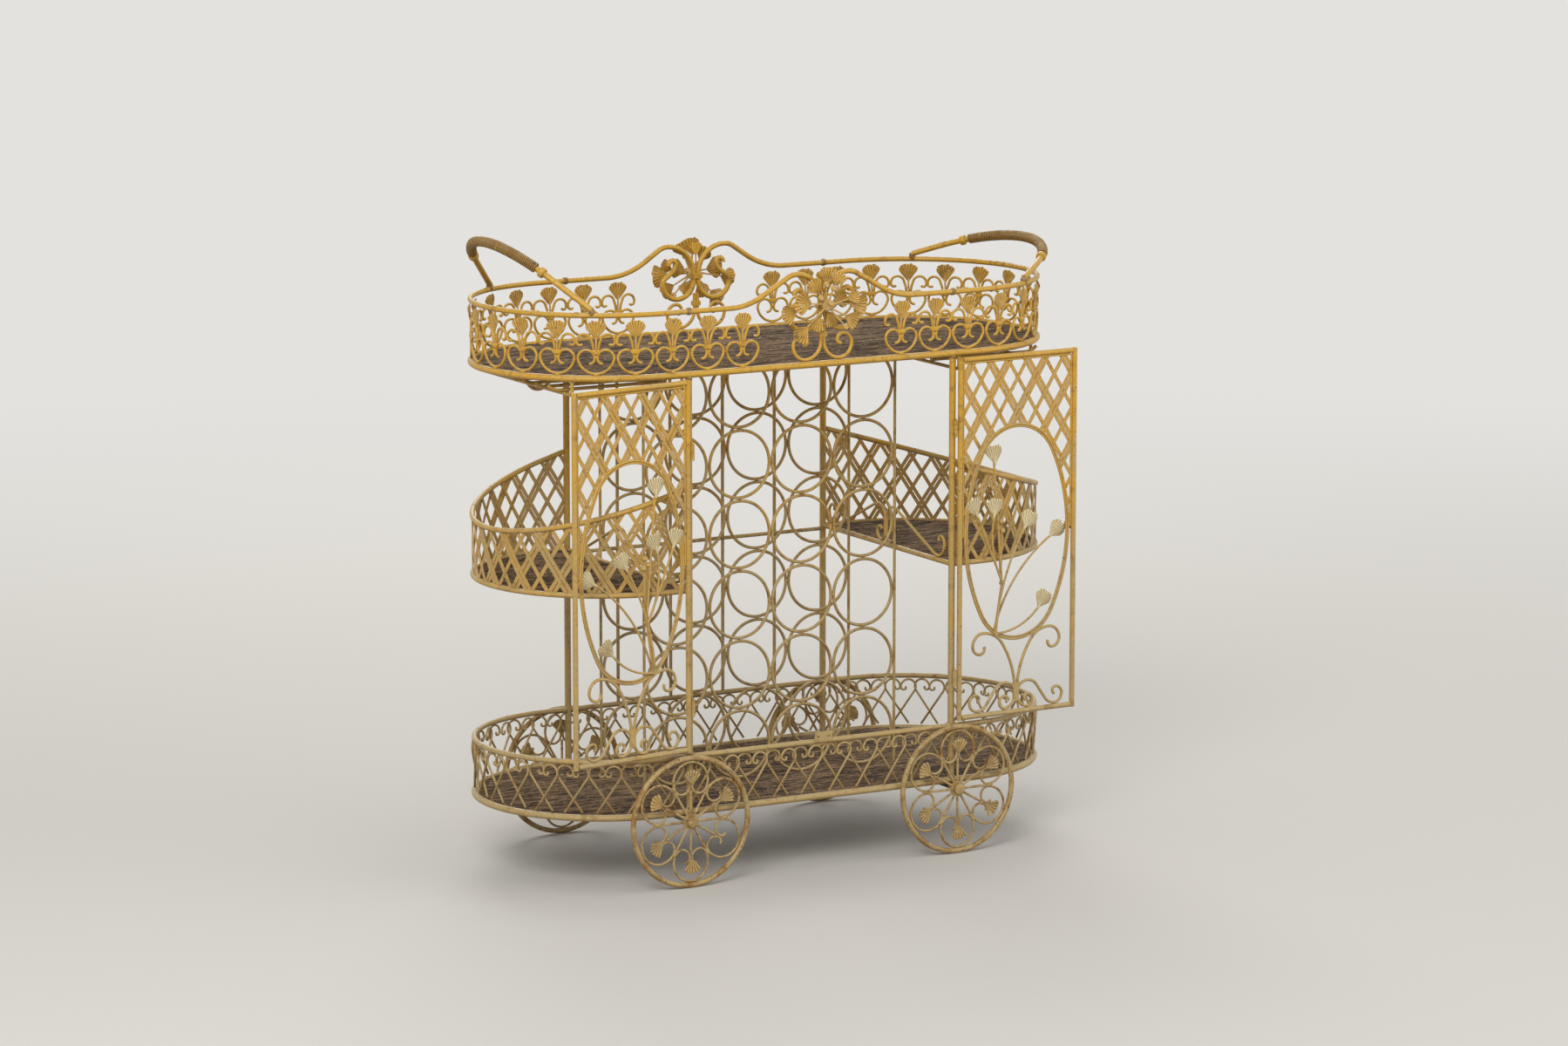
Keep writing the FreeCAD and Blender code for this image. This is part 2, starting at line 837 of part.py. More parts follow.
def arc_from(start, corner, end):
    """The arc that leaves start towards the corner and comes into end from it."""
    middle = (start + end) * 0.5
    height = corner.sub(middle)
    half_chord = end.sub(start).Length / 2
    rise = height.Length
    if rise < half_chord * 1e-6:
        return line(start, end)
    angle = math.atan2(rise, half_chord)
    share = math.tan(angle / 2) / math.tan(angle)
    return arc(start, middle + height * share, end)


def biarc_edges(start, start_heading, end, end_heading):
    chord = end.sub(start)
    both = start_heading + end_heading
    spread = 2 * (1 - start_heading.dot(end_heading))
    across = chord.dot(both)
    length_squared = chord.dot(chord)
    if spread < 1e-9:
        reach = length_squared / (2 * across)
    else:
        reach = (-across + math.sqrt(across**2 + spread * length_squared)) / spread
    first = start + start_heading * reach
    second = end - end_heading * reach
    joint = (first + second) * 0.5
    return [arc_from(start, first, joint), arc_from(joint, second, end)]


def grip(side):
    """A wire wound round the top of the handle, one unbroken tube."""
    wire = size("grip_wire")
    turns = int(size("grip_turns"))
    pitch = size("grip_pitch")
    radius, leg, height = handle_path(side)
    coil = size("handle_wire") + size("grip_clearance") + wire
    centre_z = height - radius
    whole = turns * pitch / radius

    def spot(turn):
        along = -whole / 2 + whole * turn / turns
        around = 2 * math.pi * turn
        out = radius + coil * math.cos(around)
        return Vector(out * math.sin(along), coil * math.sin(around), centre_z + out * math.cos(along))

    def heading(turn):
        step = 1e-5
        return (spot(turn + step) - spot(turn - step)).normalize()

    quarters = 4 * turns
    edges = []
    points = []
    for index in range(quarters):
        a, b = index / 4, (index + 1) / 4
        edges += biarc_edges(spot(a), heading(a), spot(b), heading(b))
    first, last = heading(0), heading(turns)
    lead = 2 * wire
    start, end = spot(0), spot(turns)
    edges = [line(start - first * lead, start)] + edges + [line(end, end + last * lead)]
    for edge in edges[1:-1]:
        points += edge.discretize(Number=4)[:-1]
    least = min(
        a.sub(b).Length
        for i, a in enumerate(points)
        for j, b in enumerate(points[i + 14 : i + 60])
    )
    print("grip winding, least gap to itself %.2f mm" % (least - 2 * wire))
    return lean(tube(edges, wire), side)


def handle_collars(side):
    """Turned collars that hold the two ends of the winding."""
    radius, leg, height = handle_path(side)
    whole = size("grip_turns") * size("grip_pitch") / radius
    length = size("handle_collar_length")
    wall = size("handle_collar_wall")
    outer = size("handle_wire") + size("weld_gap") + wall
    collars = []
    for sign in (-1, 1):
        along = sign * (whole / 2 + (4 * size("grip_wire") + length / 2) / radius)
        body = Part.makeCylinder(outer, length, Vector(-length / 2, 0, 0), ALONG)
        body = body.makeFillet(wall * 0.7, [e for e in body.Edges if len(e.Vertexes) == 1])
        bore = Part.makeTorus(
            radius, size("handle_wire") + size("weld_gap"), Vector(0, 0, -radius), ACROSS
        )
        body = body.cut(bore)
        spot = Placement(
            Vector(radius * math.sin(along), 0, height - radius + radius * math.cos(along)),
            Rotation(ACROSS, math.degrees(along)),
        )
        collars.append(lean(placed(body, spot), side))
    return collars


for side in ("left", "right"):
    keep("handle_" + side, Part.makeCompound([handle(side)] + handle_collars(side)))
    keep("grip_" + side, grip(side))


# Heart gallery of the lower tray: each heart is two wires, and each wire curls at
# the top, bends over a lobe and runs down across its neighbours to the rim


heart_wire = size("heart_wire")
heart_step = tray_length / size("heart_count")
heart_low = size("lower_rim_height") + size("rim_wire") + size("weld_gap")
heart_high = size("lower_rail_height") - size("rail_wire") - size("weld_gap")


def heart_half():
    """Right wire of a heart, about the heart's own middle line."""
    lobe = heart_step * 0.25
    top = heart_high - heart_wire
    curl = size("heart_curl_radius")
    turn = 124
    lobe_x = lobe + heart_wire * 0.2
    back = [(lobe, 90), (curl * 1.35, 120), (curl * 0.7, 110)]
    fall_z = top - lobe + lobe * math.cos(math.radians(turn))
    down = (fall_z - heart_low - heart_wire) / math.sin(math.radians(turn))
    on = [(lobe, -turn), (down, 0)]
    return tube(two_way_path(lobe_x, top, 0, back, on), heart_wire)


heart_right = heart_half()
heart_left = flip(heart_right)
heart_layer = heart_wire + size("weld_gap") / 2
post_rooms = [
    Part.makeCylinder(
        post_clear,
        size("lower_rail_height"),
        Vector(x_sign * post_place, y_sign * size("tray_radius"), 0),
    )
    for x_sign in (-1, 1)
    for y_sign in (-1, 1)
]


def beside_posts(piece):
    """What is left of a wire where it meets a post and is welded to the post's side."""
    for room in post_rooms:
        if piece.distToShape(room)[0] < size("weld_gap") / 10:
            return [solid for solid in piece.cut(room).Solids if solid.Volume > heart_wire**3]
    return [piece]


hearts = []
for index in range(int(size("heart_count"))):
    place = (index + 0.5) * heart_step
    half_width = heart_step * 0.75
    for half, layer, shift in ((heart_right, heart_layer, -1), (heart_left, -heart_layer, 1)):
        middle = shift * heart_step * 0.25
        spot = wall_plane(place + middle, half_width, 0, layer)
        shifted = half.copy()
        shifted.translate(Vector(-middle, 0, 0))
        hearts += beside_posts(placed(shifted, spot))
keep("lower_gallery_hearts", Part.makeCompound(hearts))


# Bottle rack: two upright sheets of rings, a front and a rear ring for each bottle


def rack_rings(y):
    pitch = size("rack_pitch")
    wire = size("rack_wire")
    columns, rows = int(size("rack_columns")), int(size("rack_rows"))
    radius = pitch / 2 - wire - size("ring_gap")
    rings = []
    for column in range(columns):
        for row in range(rows):
            centre = Vector((column - (columns - 1) / 2) * pitch, y, size("rack_base") + row * pitch)
            rings.append(Part.makeTorus(radius, wire, centre, ACROSS))
    return Part.makeCompound(rings)


rack_front = size("rack_middle") - size("rack_depth") / 2
rack_rear = size("rack_middle") + size("rack_depth") / 2
keep("rack_rings_front", rack_rings(rack_front))
keep("rack_rings_rear", rack_rings(rack_rear))

rack_rods = []
for label, y_rule in (
    ("front", "Sizes.rack_middle - Sizes.rack_depth / 2"),
    ("rear", "Sizes.rack_middle + Sizes.rack_depth / 2"),
):
    for sign in (-1, 1):
        upright = doc.addObject("Part::Cylinder", "rack_upright")
        upright.setExpression("Radius", "Sizes.rack_rod_wire")
        upright.setExpression(
            "Height",
            "Sizes.top_rim_height - Sizes.lower_rim_height - Sizes.mat_thickness - 2 * Sizes.weld_gap",
        )
        upright.setExpression(
            ".Placement.Base.x",
            "%d * (Sizes.rack_columns * Sizes.rack_pitch / 2 + Sizes.rack_rod_wire"
            " + Sizes.ring_gap)" % sign,
        )
        upright.setExpression(".Placement.Base.y", y_rule)
        upright.setExpression(
            ".Placement.Base.z",
            "Sizes.lower_rim_height - Sizes.mat_drop + Sizes.mat_thickness + Sizes.weld_gap",
        )
        rack_rods.append(upright)
rack_uprights = doc.addObject("Part::Compound", "rack_uprights")
rack_uprights.Links = rack_rods
keep_object("rack_uprights", rack_uprights)


# Back grille: thin rods between the rear posts, and a brace at basket height


back_rods = []
for share in (-1.5, -0.5, 0.5, 1.5):
    back_rod = doc.addObject("Part::Cylinder", "back_rod")
    back_rod.setExpression("Radius", "Sizes.back_rod_wire")
    back_rod.setExpression(
        "Height",
        "Sizes.top_rim_height - Sizes.rim_wire - Sizes.lower_rail_height"
        " - Sizes.rail_wire - 2 * Sizes.weld_gap",
    )
    back_rod.setExpression(".Placement.Base.x", "%g * Sizes.back_rod_pitch" % share)
    back_rod.setExpression(".Placement.Base.y", "Sizes.tray_radius")
    back_rod.setExpression(
        ".Placement.Base.z", "Sizes.lower_rail_height + Sizes.rail_wire + Sizes.weld_gap"
    )
    back_rods.append(back_rod)
back_grille = doc.addObject("Part::Compound", "back_rods")
back_grille.Links = back_rods
keep_object("back_rods", back_grille)

brace_y = size("tray_radius") - size("back_rod_wire") - size("brace_wire") - size("weld_gap")
brace_half = post_place - math.sqrt(
    (size("post_wire") + size("weld_gap")) ** 2
    - max(size("tray_radius") - brace_y - size("brace_wire"), 0) ** 2
)
keep(
    "back_brace",
    rod(
        Vector(-brace_half, brace_y, size("brace_height")),
        Vector(brace_half, brace_y, size("brace_height")),
        size("brace_wire"),
    ),
)


# Side baskets, made for the right end and mirrored: a sloping top rim from post to
# post, a level bottom rim, a lattice of flat strips, a mat and a low scroll rail


basket_rim_start = post_place + post_clear
basket_reach = half_straight + size("tray_radius")


def basket_rim_height(x):
    share = (x - post_place) / (basket_reach - post_place)
    return size("basket_post_height") - size("basket_drop") * share


def basket_top_rim():
    radius = size("tray_radius")
    corner = half_straight
    tilt = size("basket_drop") / (basket_reach - post_place)
    middle = Vector(corner, 0, basket_rim_height(corner))
    far = middle + Vector(radius, 0, -radius * tilt)
    wide = middle + Vector(0, radius, 0)
    bend = Part.Ellipse(far, wide, middle).toShape(-math.pi / 2, math.pi / 2)
    start_x = basket_rim_start + size("basket_wire") * tilt
    start = Vector(start_x, -radius, basket_rim_height(start_x))
    end = Vector(start_x, radius, basket_rim_height(start_x))
    edges = [
        line(start, Vector(corner, -radius, middle.z)),
        bend,
        line(Vector(corner, radius, middle.z), end),
    ]
    return tube(edges, size("basket_wire"))


def basket_wall(inner, outer):
    """The thin curved wall that one layer of strips is cut from."""
    radius = size("tray_radius")
    low = size("basket_floor_height") + size("basket_wire") + size("weld_gap")
    start = basket_rim_start

    def sheet(out):
        reach = radius + out
        plan = Part.Wire(
            [
                line(Vector(start, -reach, 0), Vector(half_straight, -reach, 0)),
                arc(
                    Vector(half_straight, -reach, 0),
                    Vector(half_straight + reach, 0, 0),
                    Vector(half_straight, reach, 0),
                ),
                line(Vector(half_straight, reach, 0), Vector(start, reach, 0)),
                line(Vector(start, reach, 0), Vector(start, -reach, 0)),
            ]
        )
        return Part.Face(plan)

    wall = sheet(outer).cut(sheet(inner))
    height = size("basket_post_height") - low
    prism = wall.extrude(Vector(0, 0, height))
    prism.translate(Vector(0, 0, low))
    tilt = math.atan2(size("basket_drop"), basket_reach - post_place)
    reach = 2 * basket_reach
    keep_below = Part.makeBox(reach, reach, reach, Vector(-reach / 2, -reach / 2, -reach))
    drop = (size("basket_wire") + size("weld_gap")) / math.cos(tilt)
    keep_below.Placement = Placement(
        Vector(post_place, 0, size("basket_post_height") - drop),
        Rotation(ACROSS, math.degrees(tilt)),
    )
    return prism.common(keep_below)


def strip_offsets(index):
    """Where the strips of this place lie: every other place has two side by side."""
    beside = (size("strip_width") + size("strip_pair_gap")) / 2
    return (-beside, beside) if index % 2 else (0,)


def basket_lattice():
    gap = size("strip_gap") / 2
    thick = size("strip_thickness")
    layers = ((basket_wall(gap, gap + thick), 1), (basket_wall(-gap - thick, -gap), -1))
    first = basket_rim_start
    last = tray_length / 2 - first
    count = int((last - first) / size("strip_pitch")) + 1
    middle_height = (size("basket_floor_height") + size("basket_post_height")) / 2
    length = 2 * size("basket_post_height") - 2 * size("basket_floor_height")
    width = size("strip_width")
    deep = 4 * width
    least = thick * width * width
    strips = []
    for wall, lean_way in layers:
        for index in range(-1, count + 2):
            place = (first + last) / 2 + (index - count / 2) * size("strip_pitch")
            point, heading = wall_spot(min(max(place, first), last))
            point = point + Vector(math.cos(heading), math.sin(heading), 0) * (
                place - min(max(place, first), last)
            )
            for offset in strip_offsets(index):
                corner = Vector(-length / 2, -deep / 2, offset - width / 2)
                slab = Part.makeBox(length, deep, width, corner)
                slab.Placement = Placement(
                    Vector(point.x, point.y, middle_height),
                    Rotation(UP, math.degrees(heading)).multiply(
                        Rotation(ACROSS, -lean_way * size("strip_slope"))
                    ),
                )
                cut = wall.common(slab)
                strips += [solid for solid in cut.Solids if solid.Volume > least]
    return strips


def scroll_rail():
    """Low pair of S scrolls along the inner side of the basket, in the XZ plane."""
    wire = size("basket_scroll_wire")
    height = size("basket_scroll_height")
    low = size("basket_floor_height") + size("basket_wire") + wire + size("weld_gap")
    slope = math.radians(size("basket_scroll_slope"))
    bends = (height * 0.75, height * 0.38)
    run = (height - sum(bends) * (1 - math.cos(slope))) / math.sin(slope)
    top_x = wire + size("weld_gap") / 2 + height * 0.33
    on = [
        (bends[0], -size("basket_scroll_slope")),
        (run, 0),
        (bends[1], size("basket_scroll_slope") + 90),
        (height * 0.2, 90),
        (height * 0.1, 120),
    ]
    back = [(height * 0.33, 90), (height * 0.45, 0), (height * 0.22, 180), (height * 0.14, 150)]
    path = two_way_path(top_x, 0, 0, back, on)
    deepest = min(point.z for edge in path for point in edge.discretize(Number=12))
    scroll = tube(path, wire)
    scroll.translate(Vector(0, 0, low - deepest))
    return [scroll, flip(scroll)]


top_rim = basket_top_rim()
bottom_rim = tube(
    wall_path(
        basket_rim_start,
        tray_length / 2 - basket_rim_start,
        size("basket_floor_height"),
    ),
    size("basket_wire"),
)
inner_bar = rod(
    Vector(post_place, -size("tray_radius") + post_clear, size("basket_floor_height")),
    Vector(post_place, size("tray_radius") - post_clear, size("basket_floor_height")),
    size("basket_wire"),
)
lattice = basket_lattice()
rail_spot = Placement(Vector(post_place, 0, 0), Rotation(UP, 90))
rail = [placed(piece, rail_spot) for piece in scroll_rail()]
for side, mirrored in (("right", False), ("left", True)):
    groups = (
        ("top_rim", [top_rim]),
        ("lower_rim", [bottom_rim, inner_bar] + rail),
        ("lattice", lattice),
    )
    for group, pieces in groups:
        made = [flip(piece) if mirrored else piece for piece in pieces]
        keep("basket_%s_%s" % (side, group), made[0] if len(made) == 1 else Part.makeCompound(made))


def basket_mat(label, turn):
    body = doc.addObject("PartDesign::Body", label)
    sketch = sketch_on(body, label + "_outline", "XY_Plane")
    start = post_place + size("basket_wire") + size("weld_gap")
    corner = half_straight
    radius = size("tray_radius") - size("basket_wire") - size("weld_gap")
    rows = (
        Part.LineSegment(Vector(start, -radius, 0), Vector(corner, -radius, 0)),
        geo_arc(Vector(corner, 0, 0), radius, -90, 90),
        Part.LineSegment(Vector(corner, radius, 0), Vector(start, radius, 0)),
        Part.LineSegment(Vector(start, radius, 0), Vector(start, -radius, 0)),
    )
    for row in rows:
        sketch.addGeometry(row, False)
    sketch.addConstraint(Sketcher.Constraint("Tangent", 0, 2, 1, 1))
    sketch.addConstraint(Sketcher.Constraint("Tangent", 1, 2, 2, 1))
    sketch.addConstraint(Sketcher.Constraint("Coincident", 2, 2, 3, 1))
    sketch.addConstraint(Sketcher.Constraint("Coincident", 3, 2, 0, 1))
    sketch.addConstraint(Sketcher.Constraint("Vertical", 3))
    sketch.addConstraint(Sketcher.Constraint("PointOnObject", 1, 3, -1))
    round_end = sketch.addConstraint(Sketcher.Constraint("Radius", 1, radius))
    centre = sketch.addConstraint(Sketcher.Constraint("DistanceX", -1, 1, 1, 3, corner))
    inner = sketch.addConstraint(Sketcher.Constraint("DistanceX", -1, 1, 0, 1, start))
    sketch.setExpression(
        "Constraints[%d]" % round_end, "Sizes.tray_radius - Sizes.basket_wire - Sizes.weld_gap"
    )
    sketch.setExpression("Constraints[%d]" % centre, "Sizes.tray_straight / 2")
    sketch.setExpression(
        "Constraints[%d]" % inner, "Sizes.post_spread / 2 + Sizes.basket_wire + Sizes.weld_gap"
    )
    pad = body.newObject("PartDesign::Pad", label + "_mat")
    pad.Profile = sketch
    pad.setExpression("Length", "Sizes.mat_thickness")
    body.Placement = Placement(ORIGIN, Rotation(UP, turn))
    body.setExpression(".Placement.Base.z", "Sizes.basket_floor_height - Sizes.mat_drop")
    return keep_object(label, body)


basket_mat("basket_right_floor", 0)
basket_mat("basket_left_floor", 180)


# Glass hangers: two bars hang under each end of the top tray, and the feet of
# stemmed glasses slide in along the prongs that lie on them


def hanger(side):
    wire = size("hanger_wire")
    bend = 3 * wire
    bars = []
    for x in (size("hanger_inner"), size("hanger_outer")):
        over = max(x - half_straight, 0)
        half = math.sqrt(size("tray_radius") ** 2 - over**2)
        top = size("top_rim_height") - size("rim_wire") - size("weld_gap")
        low = size("hanger_height")
        moves = [
            (top - low - bend, 0),
            (bend, 90),
            (2 * half - 2 * bend, 0),
            (bend, 90),
            (top - low - bend, 0),
        ]
        bar = tube(upright_path(-half, top, 270, moves), wire)
        bars.append(placed(bar, Placement(Vector(x, 0, 0), Rotation(UP, 90))))
    height = size("hanger_height") + 2 * wire + size("weld_gap")
    count = int(size("hanger_prongs"))
    tip_bend = 3 * size("hanger_tip_rise")
    turn = math.degrees(math.acos(1 - size("hanger_tip_rise") / tip_bend))
    run = size("hanger_outer") - size("hanger_inner") + 2 * wire + size("hanger_tip_rise")
    for index in range(count):
        y = size("hanger_middle") + (index - (count - 1) / 2) * size("hanger_prong_pitch")
        start = size("hanger_inner") - 2 * wire
        prong = tube(upright_path(start, height, 0, [(run, 0), (tip_bend, turn)]), wire)
        prong.translate(Vector(0, y, 0))
        bars.append(prong)
    loop_radius = size("hanger_loop_radius")
    loop = tube(
        upright_path(
            size("hanger_outer") - loop_radius * 3,
            height - wire - size("weld_gap"),
            270,
            [(loop_radius, 180)],
        ),
        wire,
    )
    loop.translate(Vector(0, y, 0))
    bars.append(loop)
    return [flip(piece) if side == "left" else piece for piece in bars]


keep("glass_hangers", Part.makeCompound(hanger("left") + hanger("right")))


# Doors, modelled shut about their own hinge line: X runs from the hinge line
# towards the other door and -Y is the outer face


door_middle = size("hinge_offset") + size("door_width") / 2
door_clear = size("door_bar_wire") + size("weld_gap")
inner_inset = size("door_bar_wire") + size("door_inner_wire") + size("weld_gap")
panel_half = size("door_width") / 2 - inner_inset - size("door_inner_wire") - size("weld_gap")
panel_low = size("door_low") + size("door_bar_wire") + size("weld_gap")
panel_high = size("door_high") - inner_inset - size("door_inner_wire") - size("weld_gap")
oval_half_width = panel_half - size("oval_wire")


def door_frame():
    """Four round bars, butted at the corners."""
    wire = size("door_bar_wire")
    left = size("hinge_offset")
    right = left + size("door_width")
    low, high = size("door_low"), size("door_high")
    sides = []
    for x in (left, right):
        sides.append(rod(Vector(x, 0, low - wire), Vector(x, 0, high + wire), wire))
    for z in (low, high):
        sides.append(rod(Vector(left + door_clear, 0, z), Vector(right - door_clear, 0, z), wire))
    return sides


def door_inner_frame():
    """Thin wire that lines the frame at the top and down both sides."""
    wire = size("door_inner_wire")
    left = size("hinge_offset") + inner_inset
    right = size("hinge_offset") + size("door_width") - inner_inset
    high = size("door_high") - inner_inset
    bend = 2 * wire
    low = size("oval_middle")
    moves = [
        (high - bend - low, 0),
        (bend, -90),
        (right - left - 2 * bend, 0),
        (bend, -90),
        (high - bend - low, 0),
    ]
    return tube(upright_path(left, low, 90, moves), wire)


def oval_path(half_width, half_height, end_radius):
    """An upright oval of four tangent arcs, in the XZ plane about the door's oval middle."""
    rise = half_height - end_radius
    side_radius = (half_width**2 + rise**2 - end_radius**2) / (2 * (half_width - end_radius))
    turn = math.degrees(math.atan2(side_radius - half_width, rise))
    side = (side_radius, 180 - 2 * turn)
    moves = [(end_radius, turn), side, (end_radius, 2 * turn), side, (end_radius, turn)]
    return upright_path(door_middle, size("oval_middle") - half_height, 0, moves)


def oval_with(out):
    """The oval's path, this much outside its own line."""
    return oval_path(
        oval_half_width + out, size("oval_half_height") + out, size("oval_end_radius") + out
    )


def door_ovals():
    step = size("oval_wire") + size("oval_inner_wire") + size("weld_gap")
    return [tube(oval_with(0), size("oval_wire")), tube(oval_with(-step), size("oval_inner_wire"))]


def door_lattice():
    """Two layers of crossed flat strips that fill the head of the door around the oval."""
    gap = size("strip_gap") / 2
    thick = size("strip_thickness")
    low = size("oval_middle")
    hole = Part.Face(Part.Wire(oval_with(size("oval_wire") + size("weld_gap"))))
    hole.translate(Vector(0, -size("cut_overrun"), 0))
    plug = hole.extrude(Vector(0, 2 * size("cut_overrun"), 0))
    strips = []
    length = 2 * (panel_high - low)
    width = size("strip_width")
    least = thick * width * width
    for lean_way, start in ((1, gap), (-1, -gap - thick)):
        panel = Part.makeBox(
            2 * panel_half,
            thick,
            panel_high - low,
            Vector(door_middle - panel_half, start, low),
        ).cut(plug)
        rise = (panel_high - low) / math.tan(math.radians(size("strip_slope")))
        count = int((2 * panel_half + 2 * rise) / size("strip_pitch")) + 1
        for index in range(count + 1):
            place = (index - count / 2) * size("strip_pitch")
            for offset in strip_offsets(index):
                slab = Part.makeBox(
                    length,
                    2 * size("cut_overrun"),
                    width,
                    Vector(-length / 2, -size("cut_overrun"), offset - width / 2),
                )
                slab.Placement = Placement(
                    Vector(door_middle + place, 0, (panel_high + low) / 2),
                    Rotation(ACROSS, -lean_way * size("strip_slope")),
                )
                cut = panel.common(slab)
                strips += [solid for solid in cut.Solids if solid.Volume > least]
    return strips


# The spray inside the oval: places across the door from the hinge line and up it
# from its foot, as shares of the door's width and of its height, and the lean


spray_leaf_shares = (
    (0.290, 0.735, -4),
    (0.115, 0.590, -22),
    (0.305, 0.585, 12),
    (0.600, 0.542, 32),
    (0.875, 0.500, 58),
    (0.735, 0.312, 40),
)
spray_joint_shares = (0.372, 0.366)
spray_berry_shares = ((0.345, 0.520), (0.372, 0.538), (0.385, 0.512))
spray_base_share = 0.228


def door_spot(x_share, z_share):
    x = size("hinge_offset") + x_share * size("door_width")
    z = size("door_low") + z_share * (size("door_high") - size("door_low"))
    return Vector(x, 0, z)


def stem(start, end, end_lean):
    """One arc that comes in to the leaf along the leaf's own line."""
    leaning = math.radians(end_lean)
    into = Vector(math.sin(leaning), 0, math.cos(leaning))
    chord = end.sub(start)
    turn = into.getAngle(chord)
    if turn < math.radians(1):
        return rod(start, end, size("stem_wire"))
    side = chord.cross(ACROSS).normalize()
    bulge = chord.Length / 2 * math.tan(turn / 2)
    middle = (start + end) / 2 + side * math.copysign(bulge, -into.dot(side))
    return tube([arc(start, middle, end)], size("stem_wire"))


spray_layer = 2 * size("stem_wire") + size("weld_gap")


def spray_places():
    """Where each leaf of the spray grows from, its lean, and where its stem starts."""
    base = door_spot(0, spray_base_share)
    base.x = size("stem_base_place")
    joint = door_spot(*spray_joint_shares)
    places = []
    for index, (x_share, z_share, leaning) in enumerate(spray_leaf_shares):
        branch = (joint, joint, joint, base, base, base)[index]
        y = (0, 1, 1, 1, -1, 1)[index] * spray_layer
        angle = math.radians(leaning)
        up = Vector(math.sin(angle), 0, math.cos(angle))
        root = door_spot(x_share, z_share) - up * (size("spray_leaf_height") / 2)
        root.y = y
        places.append((root, leaning, Vector(branch.x, y, branch.z)))
    return base, joint, places


def door_stems():
    """The stems and berries of the spray, which grow from one knot."""
    base, joint, places = spray_places()
    pieces = [rod(base, joint, size("stem_wire") * 1.2)]
    for root, leaning, branch in places:
        pieces.append(stem(branch, root, leaning))
    twig = Vector(0, -spray_layer, 0)
    pieces.append(Part.makeSphere(2 * size("stem_wire"), joint + twig / 2))
    for x_share, z_share in spray_berry_shares:
        spot = door_spot(x_share, z_share)
        pieces.append(rod(joint + twig, spot + twig, size("stem_wire") * 0.7))
        pieces.append(Part.makeSphere(size("berry_radius"), spot + twig))
    knot_half = spray_layer + size("stem_wire")
    knot = Part.makeCylinder(
        size("stem_wire") * 2.2, 2 * knot_half, base - Vector(0, knot_half, 0), ACROSS
    )
    return knot.fuse(pieces)


def door_leaves():
    fans = []
    for root, leaning, branch in spray_places()[2]:
        fan = leaf(size("spray_leaf_width"), size("spray_leaf_height"))
        behind = spray_layer if root.y == 0 else 0
        fan.translate(Vector(0, behind, size("weld_gap")))
        fans.append(placed(fan, Placement(root, Rotation(ACROSS, leaning))))
    return fans


def door_scrollwork():
    """Four large scrolls and two small ones that spring from a knot on the door's middle line."""
    wire = size("scroll_wire")
    half = size("door_width") / 2
    knot_low = panel_low + half * 0.12
    knot_high = panel_low + half * 0.40
    beside = wire + size("weld_gap") / 2
    upper = [
        (half * 1.42, -27),
        (half * 0.40, -57),
        (half * 0.185, -90),
        (half * 0.128, -90),
        (half * 0.078, -110),
    ]
    arch = half * 0.195
    lower = [
        (arch, -70),
        (arch, -55),
        (half * 0.270, 0),
        (arch, 55),
        (half * 0.136, 90),
        (half * 0.107, 90),
        (half * 0.058, 150),
    ]
    small = [(half * 0.175, 90), (half * 0.092, 180), (half * 0.049, 150)]
    shapes = []
    for start_x, start_z, heading, moves in (
        (beside, knot_high - wire, 84, upper),
        (beside, 0, 70, lower),
        (beside, 0, 270, small),
    ):
        path = upright_path(start_x, start_z, heading, moves)
        scroll = tube(path, wire)
        if start_z == 0:
            deepest = min(point.z for edge in path for point in edge.discretize(Number=12))
            scroll.translate(Vector(0, 0, panel_low + wire - deepest))
        shapes += [scroll, flip(scroll)]
    knot_half = 2.2 * wire
    knot = Part.makeBox(
        2 * knot_half,
        2.6 * wire,
        knot_high - knot_low,
        Vector(-knot_half, -1.3 * wire, knot_low),
    )
    knot = knot.makeFillet(wire, [edge for edge in knot.Edges if abs(edge.tangentAt(0).z) > 0.9])
    whole = knot.fuse(shapes)
    whole.translate(Vector(door_middle, 0, 0))
    return whole


hinge_heights = (size("hinge_low"), size("hinge_high"))


def door_knuckles():
    """Upper half of each hinge, on the door: a bored knuckle and its tab to the bar."""
    radius = size("knuckle_radius")
    length = size("knuckle_length")
    thick = size("hinge_tab_thickness")
    pieces = []
    for height in hinge_heights:
        low = height + size("hinge_play")
        knuckle = Part.makeCylinder(radius, length, Vector(0, 0, low))
        tab = Part.makeBox(
            size("hinge_offset") - door_clear,
            thick,
            length,
            Vector(0, -thick / 2, low),
        )
        bore = Part.makeCylinder(
            size("pin_radius") + size("pin_clearance"),
            length + size("cut_overrun"),
            Vector(0, 0, low - size("cut_overrun") / 2),
        )
        pieces.append(knuckle.fuse(tab).cut(bore))
    return pieces


def post_hinges(mirrored):
    """Lower half of each hinge, on the post: a knuckle with its pin and a tab to the post."""
    radius = size("knuckle_radius")
    length = size("knuckle_length")
    thick = size("hinge_tab_thickness")
    pin = size("pin_radius")
    reach = size("door_plane") - size("tray_radius") - size("post_wire") - size("weld_gap")
    pieces = []
    for height in hinge_heights:
        low = height - length
        profile = Part.Face(
            Part.makePolygon(
                [
                    Vector(0, 0, low),
                    Vector(radius, 0, low),
                    Vector(radius, 0, height),
                    Vector(pin, 0, height),
                    Vector(pin, 0, height + length + 2 * pin),
                    Vector(0, 0, height + length + 3 * pin),
                    Vector(0, 0, low),
                ]
            )
        )
        knuckle = profile.revolve(ORIGIN, UP, 360)
        tab = Part.makeBox(thick, reach, length, Vector(-thick / 2, 0, low))
        piece = knuckle.fuse(tab)
        piece.translate(Vector(-post_place, -size("door_plane"), 0))
        pieces.append(flip(piece) if mirrored else piece)
    return pieces


